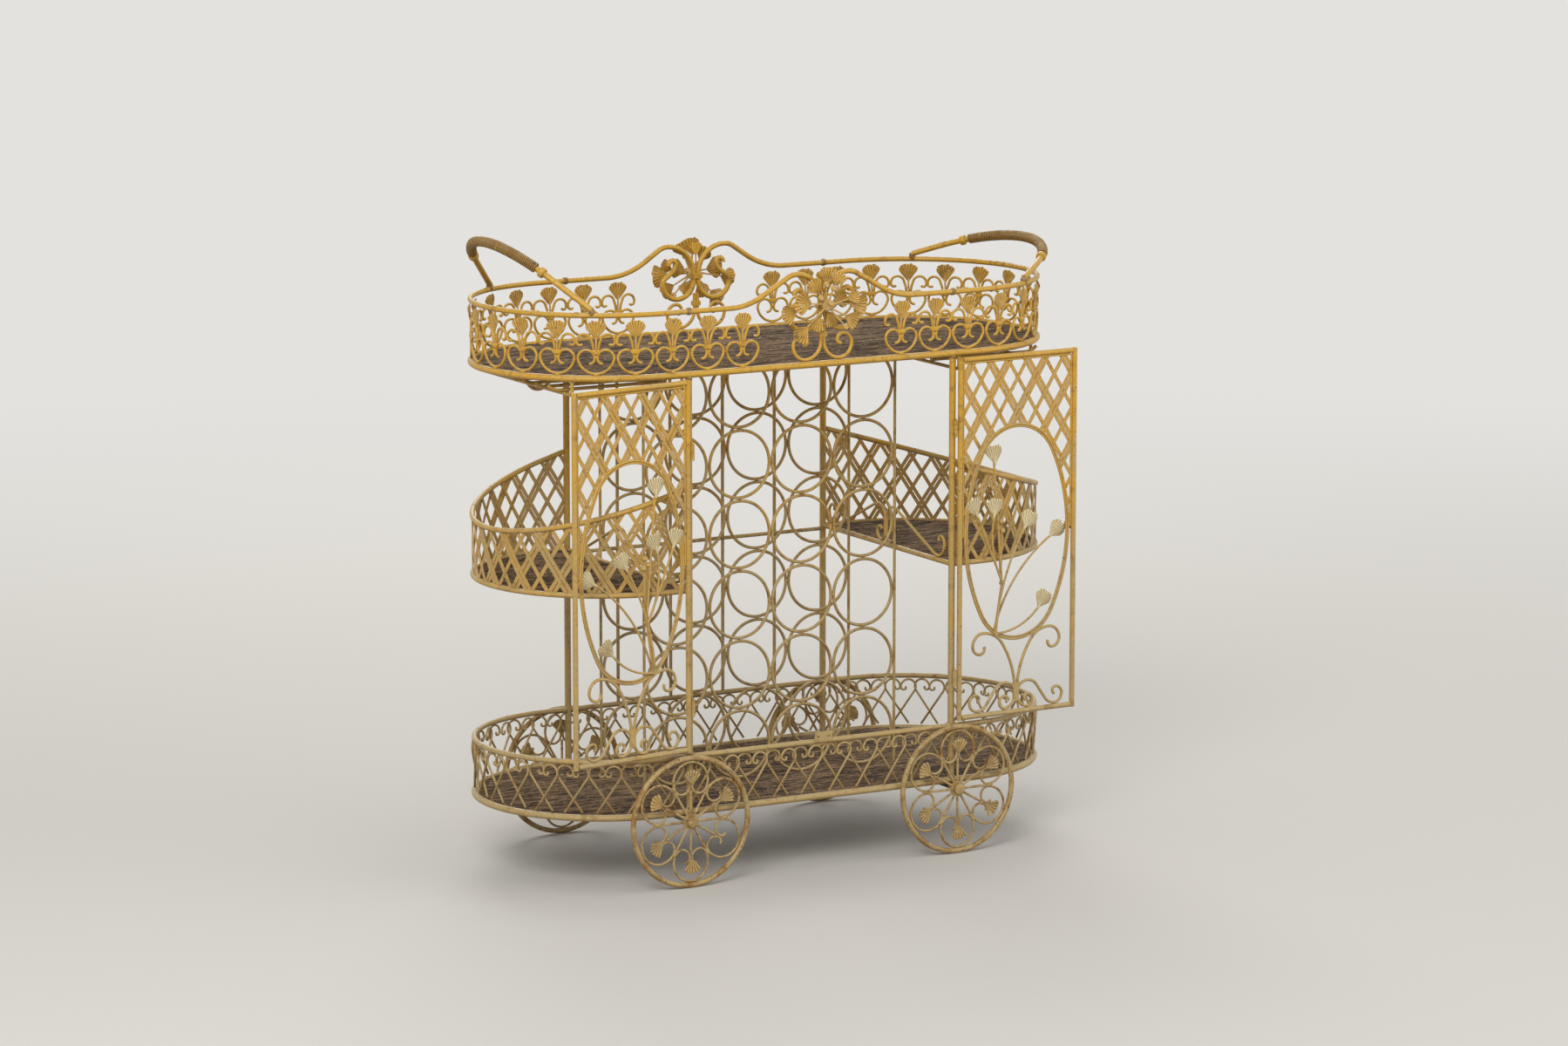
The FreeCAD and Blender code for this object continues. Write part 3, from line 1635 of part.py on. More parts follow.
def door_knob():
    """A small turned knob on the outer face of the free bar."""
    radius = size("knob_radius")
    length = size("knob_length")
    start = door_clear
    neck = radius * 0.45
    outline = [
        (0, start),
        (radius * 0.8, start),
        (radius * 0.8, start + length * 0.12),
        (neck, start + length * 0.25),
        (neck, start + length * 0.5),
        (radius * 0.9, start + length * 0.62),
        (radius, start + length * 0.78),
        (radius * 0.75, start + length * 0.94),
        (0, start + length),
        (0, start),
    ]
    profile = Part.Face(Part.makePolygon([Vector(x, -y, 0) for x, y in outline]))
    knob = profile.revolve(ORIGIN, ACROSS, 360)
    knob.translate(Vector(size("hinge_offset") + size("door_width"), 0, size("oval_middle")))
    return knob


def hang(pieces, side):
    """Swing a shut door's pieces to where the door stands open."""
    turned = []
    for piece in pieces:
        if side == "left":
            spot = Placement(
                Vector(-post_place, -size("door_plane"), 0),
                Rotation(UP, -size("door_left_open")),
            )
        else:
            piece = flip(piece)
            spot = Placement(
                Vector(post_place, -size("door_plane"), 0),
                Rotation(UP, size("door_right_open")),
            )
        turned.append(placed(piece, spot))
    return turned[0] if len(turned) == 1 else Part.makeCompound(turned)


frame_bars = door_frame()
inner_frame = door_inner_frame()
ovals = door_ovals()
vine = ovals[0].fuse([ovals[1], door_stems(), door_scrollwork()])
door_strips = door_lattice()
scrollwork = [inner_frame, vine]
leaves = door_leaves()
knuckles = door_knuckles()
for side in ("left", "right"):
    door = "door_%s_" % side
    knob = [door_knob()] if side == "right" else []
    keep(door + "frame", hang(frame_bars + knuckles + knob, side))
    keep(door + "scrollwork", hang(scrollwork, side))
    keep(door + "lattice", hang(door_strips, side))
    keep(door + "leaves", hang(leaves, side))
keep("door_hinge_pins", Part.makeCompound(post_hinges(False) + post_hinges(True)))


# Catch plate for the doors, on the face of the front rail


catch = doc.addObject("PartDesign::Body", "door_catch")
catch_sketch = sketch_on(catch, "catch_outline", "XZ_Plane")
half = size("catch_length") / 2
tall = size("catch_height")
corners = (Vector(-half, 0, 0), Vector(half, 0, 0), Vector(half, tall, 0), Vector(-half, tall, 0))
for index in range(4):
    catch_sketch.addGeometry(Part.LineSegment(corners[index], corners[(index + 1) % 4]), False)
for index in range(4):
    catch_sketch.addConstraint(Sketcher.Constraint("Coincident", index, 2, (index + 1) % 4, 1))
for index, kind in ((1, "Vertical"), (2, "Horizontal"), (3, "Vertical")):
    catch_sketch.addConstraint(Sketcher.Constraint(kind, index))
catch_sketch.addConstraint(Sketcher.Constraint("Symmetric", 0, 1, 0, 2, -2))
long_rule = catch_sketch.addConstraint(Sketcher.Constraint("DistanceX", 0, 1, 0, 2, 2 * half))
tall_rule = catch_sketch.addConstraint(Sketcher.Constraint("DistanceY", 1, 1, 1, 2, tall))
catch_sketch.addConstraint(Sketcher.Constraint("PointOnObject", 0, 1, -1))
catch_sketch.setExpression("Constraints[%d]" % long_rule, "Sizes.catch_length")
catch_sketch.setExpression("Constraints[%d]" % tall_rule, "Sizes.catch_height")
for sign in (-1, 1):
    centre = Vector(sign * size("catch_hole_spacing") / 2, tall / 2, 0)
    hole = catch_sketch.addGeometry(Part.Circle(centre, UP, size("catch_hole_radius")), False)
    rule = catch_sketch.addConstraint(Sketcher.Constraint("Radius", hole, size("catch_hole_radius")))
    catch_sketch.setExpression("Constraints[%d]" % rule, "Sizes.catch_hole_radius")
    ends = (hole, 3, -1, 1) if sign < 0 else (-1, 1, hole, 3)
    rule = catch_sketch.addConstraint(
        Sketcher.Constraint("DistanceX", *ends, size("catch_hole_spacing") / 2)
    )
    catch_sketch.setExpression("Constraints[%d]" % rule, "Sizes.catch_hole_spacing / 2")
    rule = catch_sketch.addConstraint(Sketcher.Constraint("DistanceY", -1, 1, hole, 3, tall / 2))
    catch_sketch.setExpression("Constraints[%d]" % rule, "Sizes.catch_height / 2")
catch_pad = catch.newObject("PartDesign::Pad", "catch_plate")
catch_pad.Profile = catch_sketch
catch_pad.setExpression("Length", "Sizes.catch_thickness")
catch.setExpression(
    ".Placement.Base.y", "-Sizes.tray_radius - Sizes.rail_wire - Sizes.weld_gap"
)
catch.setExpression(".Placement.Base.z", "Sizes.lower_rail_height")
keep_object("door_catch", catch)


# Wheels: a round tyre bar, a turned hub and straight spokes, with ring scrolls and
# leaves on the outer face. The axle runs under the tray from wheel to wheel


wheel_outer = size("wheel_radius") - size("tyre_wire")


wheel_wire = size("wheel_scroll_wire")
wheel_reach = wheel_outer - size("tyre_wire") - size("weld_gap") - wheel_wire
wheel_ring_count = int(size("spoke_count")) // 2
ring_chord = 2 * math.sin(math.pi / wheel_ring_count)
ring_centre = (wheel_reach + wheel_wire + size("weld_gap") / 2) / (1 + ring_chord / 2)
wheel_ring_radius = wheel_reach - ring_centre
wheel_ring_turn = 115
wheel_ring_gap = wheel_wire + size("weld_gap") / 2
wheel_cusp = wheel_reach - apple_cusp(wheel_ring_radius, wheel_ring_gap, wheel_ring_turn)
wheel_drop_share = 0.05
wheel_hook_share = 0.22
wheel_hook_turn = 100


def wheel():
    """In the XZ plane about its own hub, with -Y as the outer face."""
    tyre = Part.makeTorus(wheel_outer, size("tyre_wire"), ORIGIN, ACROSS)
    bore = size("axle_radius") + size("axle_clearance")
    long_half = size("hub_length") / 2
    boss_half = size("hub_boss_length") / 2
    outline = [
        (bore, -long_half),
        (size("hub_radius"), -long_half),
        (size("hub_radius"), -boss_half),
        (size("hub_boss_radius"), -boss_half),
        (size("hub_boss_radius"), boss_half),
        (size("hub_radius"), boss_half),
        (size("hub_radius"), long_half),
        (bore, long_half),
        (bore, -long_half),
    ]
    profile = Part.Face(Part.makePolygon([Vector(x, y, 0) for x, y in outline]))
    hub = profile.revolve(ORIGIN, ACROSS, 360)
    spokes = []
    count = int(size("spoke_count"))
    beside = ring_centre * math.cos(math.pi / wheel_ring_count)
    shoulder = apple_shoulder(wheel_ring_radius, wheel_ring_gap, wheel_ring_turn)
    cleft = math.sqrt(
        (shoulder + wheel_wire + size("weld_gap")) ** 2
        - (shoulder + wheel_ring_gap - size("spoke_wire")) ** 2
    )
    for index in range(count):
        angle = 2 * math.pi * index / count
        way = Vector(math.sin(angle), 0, math.cos(angle))
        reach = beside - shoulder if index % 2 else wheel_cusp - cleft
        spokes.append(rod(way * size("hub_radius"), way * reach, size("spoke_wire")))
    return [hub.fuse(spokes), tyre] + wheel_rings()


def wheel_rings():
    """A ring for every other spoke, with its ends turned out inside it."""
    ring = apple_ring(
        wheel_ring_radius,
        wheel_ring_gap,
        wheel_ring_turn,
        wheel_ring_radius * wheel_drop_share,
        wheel_ring_radius * wheel_hook_share,
        wheel_hook_turn,
        wheel_wire,
    )
    ring = placed(ring, Placement(Vector(0, 0, wheel_reach), Rotation(ACROSS, 180)))
    return round_the_hub(ring)


def wheel_leaves():
    """A leaf on each ring's cusp, on the wheel's outer face."""
    fan = leaf(size("wheel_leaf_width"), size("wheel_leaf_height"))
    fan_y = -wheel_wire - size("leaf_thickness") / 2 - size("leaf_pleat") / 2 - size("weld_gap")
    fan.translate(Vector(0, fan_y, wheel_cusp + wheel_wire))
    return round_the_hub(fan)


def round_the_hub(piece):
    step = 360 / wheel_ring_count
    return [
        placed(piece, Placement(ORIGIN, Rotation(ACROSS, step * index)))
        for index in range(wheel_ring_count)
    ]


lost_leaf = 2
wheel_pieces = wheel()
for side, x_sign, y_sign in (
    ("front_left", -1, -1),
    ("front_right", 1, -1),
    ("rear_left", -1, 1),
    ("rear_right", 1, 1),
):
    spot = Placement(
        Vector(
            x_sign * size("wheel_spread") / 2, y_sign * size("wheel_plane"), size("wheel_radius")
        ),
        Rotation(UP, 0 if y_sign < 0 else 180),
    )
    keep("wheel_" + side, Part.makeCompound([placed(piece, spot) for piece in wheel_pieces]))
    fans = wheel_leaves()
    if side == "front_left":
        fans.pop(lost_leaf)
    keep("wheel_%s_leaves" % side, Part.makeCompound([placed(fan, spot) for fan in fans]))


def axle():
    """A round bar with a collar inside each wheel and a cap outside it."""
    plane = size("wheel_plane")
    rod_radius = size("axle_radius")
    inside = plane - size("hub_length") / 2 - size("axle_play")
    outside = plane + size("hub_length") / 2 + size("axle_play")
    collar = size("axle_collar_radius")
    cap = size("axle_cap_radius")
    end = outside + size("axle_cap_length")
    half = [
        (rod_radius, inside - size("axle_collar_length")),
        (collar, inside - size("axle_collar_length")),
        (collar, inside),
        (rod_radius, inside),
        (rod_radius, outside),
        (cap, outside),
        (cap, outside + size("axle_cap_length") * 0.4),
        (cap * 0.75, end - size("axle_cap_length") * 0.2),
        (0, end),
    ]
    outline = [(x, -y) for x, y in reversed(half)] + half
    outline.append(outline[0])
    profile = Part.Face(Part.makePolygon([Vector(x, y, 0) for x, y in outline]))
    return profile.revolve(ORIGIN, ACROSS, 360)


def bearings():
    """Short tubes under the rim that the axle turns in, each with a strap up to the rim."""
    radius = size("bearing_radius")
    length = size("bearing_length")
    bore = size("axle_radius") + size("axle_clearance")
    low_rim = size("lower_rim_height") - size("rim_wire") - size("weld_gap") - size("wheel_radius")
    pieces = []
    for sign in (-1, 1):
        y = sign * size("tray_radius") - length / 2
        sleeve = Part.makeCylinder(radius, length, Vector(0, y, 0), ACROSS)
        saddle = Part.makeBox(2 * size("axle_radius"), length, low_rim, Vector(-size("axle_radius"), y, 0))
        inner = Part.makeCylinder(
            bore, length + size("cut_overrun"), Vector(0, y - size("cut_overrun") / 2, 0), ACROSS
        )
        pieces.append(sleeve.fuse(saddle).cut(inner))
    return pieces


plain_axle = axle()
sleeves = bearings()
all_sleeves = []
for side, sign in (("left", -1), ("right", 1)):
    spot = Placement(
        Vector(sign * size("wheel_spread") / 2, 0, size("wheel_radius")), Rotation()
    )
    keep("axle_" + side, placed(plain_axle, spot))
    all_sleeves += [placed(piece, spot) for piece in sleeves]
keep("axle_bearings", Part.makeCompound(all_sleeves))


doc.recompute()
for thing in doc.Objects:
    if "Invalid" in thing.State or "Error" in thing.State:
        raise RuntimeError("%s did not build: %s" % (thing.Label, thing.State))
for thing in finished:
    if thing.Shape.isNull() or not thing.Shape.isValid() or not thing.Shape.Solids:
        raise RuntimeError("%s has no valid shape" % thing.Label)

os.makedirs("parts", exist_ok=True)
for thing in finished:
    thing.Shape.exportStep("parts/%s.step" % thing.Label)
    print(thing.Label, len(thing.Shape.Solids), "solids", round(thing.Shape.Volume / 1000, 2), "cm3")
print(len(finished), "sub-parts", sum(len(thing.Shape.Solids) for thing in finished), "solids")
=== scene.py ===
import json
import math
import random

import bmesh
import bpy
from mathutils import Matrix, Vector


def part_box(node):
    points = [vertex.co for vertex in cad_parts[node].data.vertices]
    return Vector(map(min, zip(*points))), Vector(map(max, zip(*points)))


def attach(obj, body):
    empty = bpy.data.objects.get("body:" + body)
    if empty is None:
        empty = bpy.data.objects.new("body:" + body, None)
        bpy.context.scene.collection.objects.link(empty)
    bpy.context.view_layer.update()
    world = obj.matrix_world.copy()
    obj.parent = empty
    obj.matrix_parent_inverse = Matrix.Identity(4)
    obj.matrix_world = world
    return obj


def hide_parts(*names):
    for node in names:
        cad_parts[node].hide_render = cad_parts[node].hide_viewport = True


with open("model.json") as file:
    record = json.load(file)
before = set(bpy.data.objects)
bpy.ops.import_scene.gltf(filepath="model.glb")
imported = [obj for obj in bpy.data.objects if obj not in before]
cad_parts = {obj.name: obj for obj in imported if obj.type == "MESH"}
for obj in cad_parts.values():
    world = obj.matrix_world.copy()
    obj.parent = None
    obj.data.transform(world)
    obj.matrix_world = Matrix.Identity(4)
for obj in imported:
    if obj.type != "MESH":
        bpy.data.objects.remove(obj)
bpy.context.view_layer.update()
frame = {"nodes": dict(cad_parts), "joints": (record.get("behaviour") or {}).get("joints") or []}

bl_info = {
    "name": "Wrought Iron Serving Trolley",
    "version": (1, 0, 0),
    "blender": (4, 5, 0),
    "location": "View3D > Sidebar > Trolley",
    "description": "Dresses the trolley's ironwork with worn enamel, woven floors, leaves, grips and welds",
    "category": "Add Mesh",
}

MM = 0.001


# Colours and nodes


def linear(hex_text):
    """An sRGB hex colour as linear red, green and blue."""
    parts = [int(hex_text[i : i + 2], 16) / 255 for i in (1, 3, 5)]
    return [c / 12.92 if c <= 0.04045 else ((c + 0.055) / 1.055) ** 2.4 for c in parts]


def add_node(tree, kind, values=None, links=None, **settings):
    """Add a node with its settings, its socket values and its incoming links."""
    node = tree.nodes.new(kind)
    for name, setting in settings.items():
        setattr(node, name, setting)
    for socket, value in (values or {}).items():
        node.inputs[socket].default_value = value
    for socket, source in (links or {}).items():
        tree.links.new(source, node.inputs[socket])
    return node


# Sizes and colours that a user may change


def colour_property(name, description, hex_text):
    """A colour that a user may change."""
    return bpy.props.FloatVectorProperty(
        name=name, description=description, subtype="COLOR", min=0, max=1, default=linear(hex_text)
    )


def length_property(name, description, millimetres):
    """A size that a user may change."""
    return bpy.props.FloatProperty(
        name=name, description=description, unit="LENGTH", default=millimetres * MM
    )


class TrolleyFinish(bpy.types.PropertyGroup):
    """Colours of the trolley's finishes"""

    ochre: colour_property("Ochre enamel", "The paint where it is whole, on the upper bars", "#CF9F30")
    # The dulled colour is also laid as painted shade towards the floor
    dull: colour_property("Dulled enamel", "The paint where dust and sun have greyed it", "#AD976A")
    # This pale colour is also laid as painted highlight on faces that look up and on the ribs of leaves
    pale: colour_property(
        "Rubbed enamel", "Where the paint is rubbed through to its pale ground coat", "#C4AE7C"
    )
    rust: colour_property("Rust", "Bare iron in the chips", "#4E3320")
    # Darkened, the stain colour is also laid as painted shade on faces that look down and in the grooves of
    # leaves
    stain: colour_property("Brown stain", "Where the thin coat lets the iron's brown through", "#8A6026")
    strip: colour_property("Strip enamel", "The paler paint of the lattice strips and wheels", "#C69B48")
    grip: colour_property("Grip enamel", "Paint of the wound grips, browned by hands", "#8C6A2C")
    leaf: colour_property("Leaf enamel", "The warmer yellow of the leaves", "#D6A43A")
    bleached: colour_property("Bleached leaf enamel", "The pale leaves of the doors", "#E9DAAC")
    # Darkened to near black, this colour is also laid as painted shade in the weave
    strand: colour_property("Floor strands", "Brown wire of the woven floors", "#8E7458")


class TrolleySizes(bpy.types.PropertyGroup):
    """Sizes of the pieces that are modelled here"""

    strand_radius: length_property("Strand radius", "Half the thickness of a floor strand", 1.45)
    strand_pitch: length_property("Strand pitch", "From one floor strand to the next", 2.9)
    strand_step: length_property("Strand step", "Half the length of a strand's wave", 19)
    strand_wander: length_property("Strand wander", "How far a strand strays from its line", 2.6)
    leaf_thickness: length_property("Leaf thickness", "Sheet thickness of the pressed leaves", 0.9)
    rib_depth: length_property("Rib depth", "Height of the ribs pressed into a leaf", 1.3)
    grip_wire: length_property("Grip wire", "Radius of the wire wound on the handles", 1.7)
    gallery_wire: length_property(
        "Gallery wire", "Radius of the round bar of the top gallery's scrolls", 2
    )
    heart_wire: length_property("Heart wire", "Radius of the wire of the lower gallery's hearts", 1.75)
    weld_bead: length_property("Weld bead", "Radius of a small weld between thin bars", 2.6)


# Working in object and edit mode


def turned(degrees, axis):
    """A turn about an axis through the origin."""
    return Matrix.Rotation(math.radians(degrees), 4, axis)


def nothing_selected():
    if bpy.context.object and bpy.context.object.mode != "OBJECT":
        bpy.ops.object.mode_set(mode="OBJECT")
    bpy.ops.object.select_all(action="DESELECT")


def make_active(piece):
    nothing_selected()
    piece.select_set(True)
    bpy.context.view_layer.objects.active = piece


def edit(piece):
    make_active(piece)
    bpy.ops.object.mode_set(mode="EDIT")
    bpy.ops.mesh.select_mode(type="VERT")


def select_points(piece, test):
    """In edit mode, select the points whose place passes the test."""
    mesh = bmesh.from_edit_mesh(piece.data)
    for vertex in mesh.verts:
        vertex.select_set(bool(test(vertex.co)))
    mesh.select_flush_mode()
    bmesh.update_edit_mesh(piece.data)


def mark_selected(piece, name, value):
    """In edit mode, note a number at the selected points for a material to read."""
    mesh = bmesh.from_edit_mesh(piece.data)
    mark = mesh.verts.layers.float.get(name) or mesh.verts.layers.float.new(name)
    for vertex in mesh.verts:
        if vertex.select:
            vertex[mark] = value
    bmesh.update_edit_mesh(piece.data)


def leave_edit():
    bpy.ops.object.mode_set(mode="OBJECT")


def modify(piece, kind, **settings):
    """Add a modifier with its settings and apply it."""
    make_active(piece)
    bpy.ops.object.modifier_add(type=kind)
    modifier = piece.modifiers[-1]
    for name, value in settings.items():
        setattr(modifier, name, value)
    bpy.ops.object.modifier_apply(modifier=modifier.name)


def settle(piece, matrix=None):
    """Put a piece at a place and bake that place into its mesh."""
    if matrix is not None:
        piece.matrix_world = matrix
    make_active(piece)
    bpy.ops.object.transform_apply(location=True, rotation=True, scale=True)


def copy_to(piece, matrix):
    """A copy with its own mesh, standing at this place."""
    copy = piece.copy()
    copy.data = piece.data.copy()
    bpy.context.collection.objects.link(copy)
    settle(copy, matrix)
    return copy


def join(pieces, name):
    nothing_selected()
    for piece in pieces:
        piece.select_set(True)
    bpy.context.view_layer.objects.active = pieces[0]
    if len(pieces) > 1:
        bpy.ops.object.join()
    whole = bpy.context.view_layer.objects.active
    whole.name = name
    whole.data.name = name
    return whole


def discard(*pieces):
    for piece in pieces:
        bpy.data.objects.remove(piece)


def smooth(piece, degrees=40):
    make_active(piece)
    bpy.ops.object.shade_smooth_by_angle(angle=math.radians(degrees))


def dress(piece, material):
    piece.data.materials.clear()
    piece.data.materials.append(bpy.data.materials[material])


def hand_over(piece, body, material, slot, *nodes):
    """Finish a new piece, let it ride on its body, and hide the nodes it stands for."""
    dress(piece, material)
    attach(piece, body)
    if nodes:
        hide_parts(*nodes)


# Bars and beads


def walk(x, z, heading, moves):
    """Where runs and arcs lead in the XZ plane. A move is a radius and a turn, or a run with no turn."""
    angle = math.radians(heading)
    for amount, turn in moves:
        if turn:
            radius = math.copysign(amount, turn)
            x -= radius * math.sin(angle)
            z += radius * math.cos(angle)
            angle += math.radians(turn)
            x += radius * math.sin(angle)
            z -= radius * math.cos(angle)
        else:
            x += amount * math.cos(angle)
            z += amount * math.sin(angle)
    return x, z, math.degrees(angle)


def both_ways(x, z, heading, back, on):
    """Start and moves of one bar that runs back from a point to one end, and on to the other."""
    x, z, end_heading = walk(x, z, heading + 180, back)
    return x, z, end_heading + 180, [(amount, -turn) for amount, turn in reversed(back)] + list(on)


def bent_bar(x, z, heading, moves, wire, sides=10, step=15):
    """A round bar bent in the XZ plane, with both ends hammered round."""
    tip_share = 0.6
    tip_run = 0.4 * wire
    angle = math.radians(heading)
    start = Vector((x - tip_run * math.cos(angle), 0, z - tip_run * math.sin(angle)))
    nothing_selected()
    bpy.ops.mesh.primitive_circle_add(
        vertices=sides,
        radius=wire * tip_share,
        fill_type="NGON",
        location=start,
        rotation=(0, math.pi / 2 - angle, 0),
    )
    bar = bpy.context.object
    settle(bar)
    edit(bar)
    bpy.ops.mesh.select_mode(type="FACE")
    bpy.ops.mesh.select_all(action="SELECT")

    def push(amount, angle, scale, spot):
        way = (amount * math.cos(angle), 0, amount * math.sin(angle))
        bpy.ops.mesh.extrude_region_move(TRANSFORM_OT_translate={"value": way})
        if scale != 1:
            bpy.ops.transform.resize(value=(scale, scale, scale), center_override=spot)

    push(tip_run, angle, 1 / tip_share, (x, 0, z))
    for amount, turn in moves:
        angle = math.radians(heading)
        if turn:
            radius = math.copysign(amount, turn)
            centre = (x - radius * math.sin(angle), 0, z + radius * math.cos(angle))
            count = max(round(abs(turn) / step), 2)
            bpy.ops.mesh.spin(steps=count, angle=math.radians(turn), center=centre, axis=(0, 1, 0))
        else:
            push(amount, angle, 1, None)
        x, z, heading = walk(x, z, heading, [(amount, turn)])
    angle = math.radians(heading)
    end = (x + tip_run * math.cos(angle), 0, z + tip_run * math.sin(angle))
    push(tip_run, angle, tip_share, end)
    bpy.ops.mesh.select_all(action="SELECT")
    bpy.ops.mesh.normals_make_consistent(inside=False)
    leave_edit()
    smooth(bar, 50)
    return bar


def mirrored(piece):
    """The same piece the other way round in X, with its faces turned outwards again."""
    other = copy_to(piece, Matrix.Scale(-1, 4, (1, 0, 0)))
    edit(other)
    bpy.ops.mesh.select_all(action="SELECT")
    bpy.ops.mesh.normals_make_consistent(inside=False)
    leave_edit()
    return other


def collar(half_width, half_depth, height, middle_z):
    """A strap hammered round bars that lie side by side, waisted a little at its middle."""
    nothing_selected()
    bpy.ops.mesh.primitive_cube_add(size=2, location=(0, 0, middle_z))
    strap = bpy.context.object
    strap.scale = (half_width, half_depth, height / 2)
    settle(strap)
    modify(strap, "BEVEL", width=half_depth * 0.45, segments=2)
    edit(strap)
    bpy.ops.mesh.select_all(action="SELECT")
    bpy.ops.mesh.bisect(plane_co=(0, 0, middle_z), plane_no=(0, 0, 1))
    bpy.ops.transform.resize(value=(0.9, 0.86, 1), center_override=(0, 0, middle_z))
    leave_edit()
    smooth(strap, 50)
    return strap


def bead(radius, seed=1):
    """A small lumpy drop of weld metal."""
    nothing_selected()
    bpy.ops.mesh.primitive_uv_sphere_add(segments=9, ring_count=6, radius=radius)
    drop = bpy.context.object
    edit(drop)
    bpy.ops.mesh.select_all(action="SELECT")
    bpy.ops.transform.vertex_random(offset=radius * 0.22, seed=seed)
    leave_edit()
    smooth(drop, 80)
    return drop


def boss(radius, depth, rounding, roughness):
    """A round lump that stands out to the front of the origin, its edge hammered round."""
    nothing_selected()
    bpy.ops.mesh.primitive_cylinder_add(
        vertices=20,
        radius=radius,
        depth=depth,
        location=(0, -depth / 2, 0),
        rotation=(math.radians(90), 0, 0),
    )
    lump = bpy.context.object
    settle(lump)
    modify(lump, "BEVEL", width=rounding, segments=3, limit_method="ANGLE")
    edit(lump)
    bpy.ops.mesh.select_all(action="SELECT")
    bpy.ops.transform.vertex_random(offset=roughness, seed=3)
    leave_edit()
    smooth(lump, 60)
    return lump


def weld_all(name, radius, spots, body):
    """Beads at all of these spots, as one piece."""
    drops = [bead(radius, seed) for seed in (1, 2, 3)]
    made = []
    for index, spot in enumerate(spots):
        turn = Matrix.Rotation(index * 2.4, 4, "Z")
        made.append(copy_to(drops[index % 3], Matrix.Translation(spot) @ turn))
    discard(*drops)
    hand_over(join(made, name), body, "browned_weld", "painted_wire")


# Where things are, read from the frame


def middle(node):
    low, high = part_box(node)
    return (low + high) / 2


rim_low, rim_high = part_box("top_tray_rim")
rail_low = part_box("top_rail_right")[0]
rim_wire = (rim_high.z - rim_low.z) / 2
rail_wire = rim_wire * 0.8
tray_radius = rim_high.y - rim_wire
half_straight = rim_high.x - rim_wire - tray_radius
end_length = math.pi * tray_radius
tray_length = 4 * half_straight + 2 * end_length
rail_height = rail_low.z + rail_wire
lower_rail_height = middle("lower_rails_straight").z
hinges = {joint["child"]: joint for joint in frame["joints"]}
corners = ("front_left", "front_right", "rear_left", "rear_right")
# The gallery's motifs leave the crests free, half of them on each side of the middle
gallery_start = 135 * MM
motifs_per_side = 16
gallery_step = (tray_length / 2 - 2 * gallery_start) / (motifs_per_side - 1)
gallery_places = []
for motif_index in range(motifs_per_side):
    gallery_places += [
        gallery_start + motif_index * gallery_step,
        -gallery_start - motif_index * gallery_step,
    ]


def wall_spot(place):
    """Plan point and heading on the tray's wall line, from the middle of the front going right."""
    place = place % tray_length
    runs = (half_straight, end_length, 2 * half_straight, end_length, half_straight)
    index = 0
    while index < 4 and place > runs[index]:
        place -= runs[index]
        index += 1
    if index in (0, 4):
        x = place if index == 0 else place - half_straight
        return Vector((x, -tray_radius, 0)), 0.0
    if index == 2:
        return Vector((half_straight - place, tray_radius, 0)), math.pi
    heading = place / tray_radius + (math.pi if index == 3 else 0)
    centre = half_straight if index == 1 else -half_straight
    spot = Vector((centre + tray_radius * math.sin(heading), -tray_radius * math.cos(heading), 0))
    return spot, heading


def wall_matrix(place, half_width, height, out=0.0):
    """Where a flat motif of this width sits against the wall line."""
    before, middle_spot, after = (wall_spot(place + x)[0] for x in (-half_width, 0, half_width))
    chord = after - before
    heading = math.atan2(chord.y, chord.x)
    centre = (middle_spot + (before + after) / 2) / 2
    centre += Vector((math.sin(heading), -math.cos(heading), 0)) * out
    return Matrix.Translation((centre.x, centre.y, height)) @ Matrix.Rotation(heading, 4, "Z")


# Finishes


def patches(tree, place, size_mm, share, softness=0.05, detail=4.0):
    """Ragged patches about this size, over about this share of the surface."""
    noise = add_node(
        tree,
        "ShaderNodeTexNoise",
        {"Scale": 1 / (size_mm * MM), "Detail": detail, "Roughness": 0.6},
        {"Vector": place},
    )
    edge = 0.68 - 0.36 * share
    mask = add_node(
        tree,
        "ShaderNodeMapRange",
        {"From Min": edge, "From Max": edge + softness},
        {"Value": noise.outputs["Fac"]},
    )
    return mask.outputs["Result"]


def coats(tree, ground, *layers):
    """Lay colours over a ground, one after the other, each where its mask is."""
    for over, mask in layers:
        values = {7: (*over, 1)}
        links = {0: mask}
        if isinstance(ground, bpy.types.NodeSocket):
            links[6] = ground
        else:
            values[6] = (*ground, 1)
        ground = add_node(tree, "ShaderNodeMix", values, links, data_type="RGBA").outputs[2]
    return ground


def bare_material(name):
    """A material with no nodes yet."""
    material = bpy.data.materials.new(name)
    material.use_nodes = True
    material.node_tree.nodes.clear()
    return material


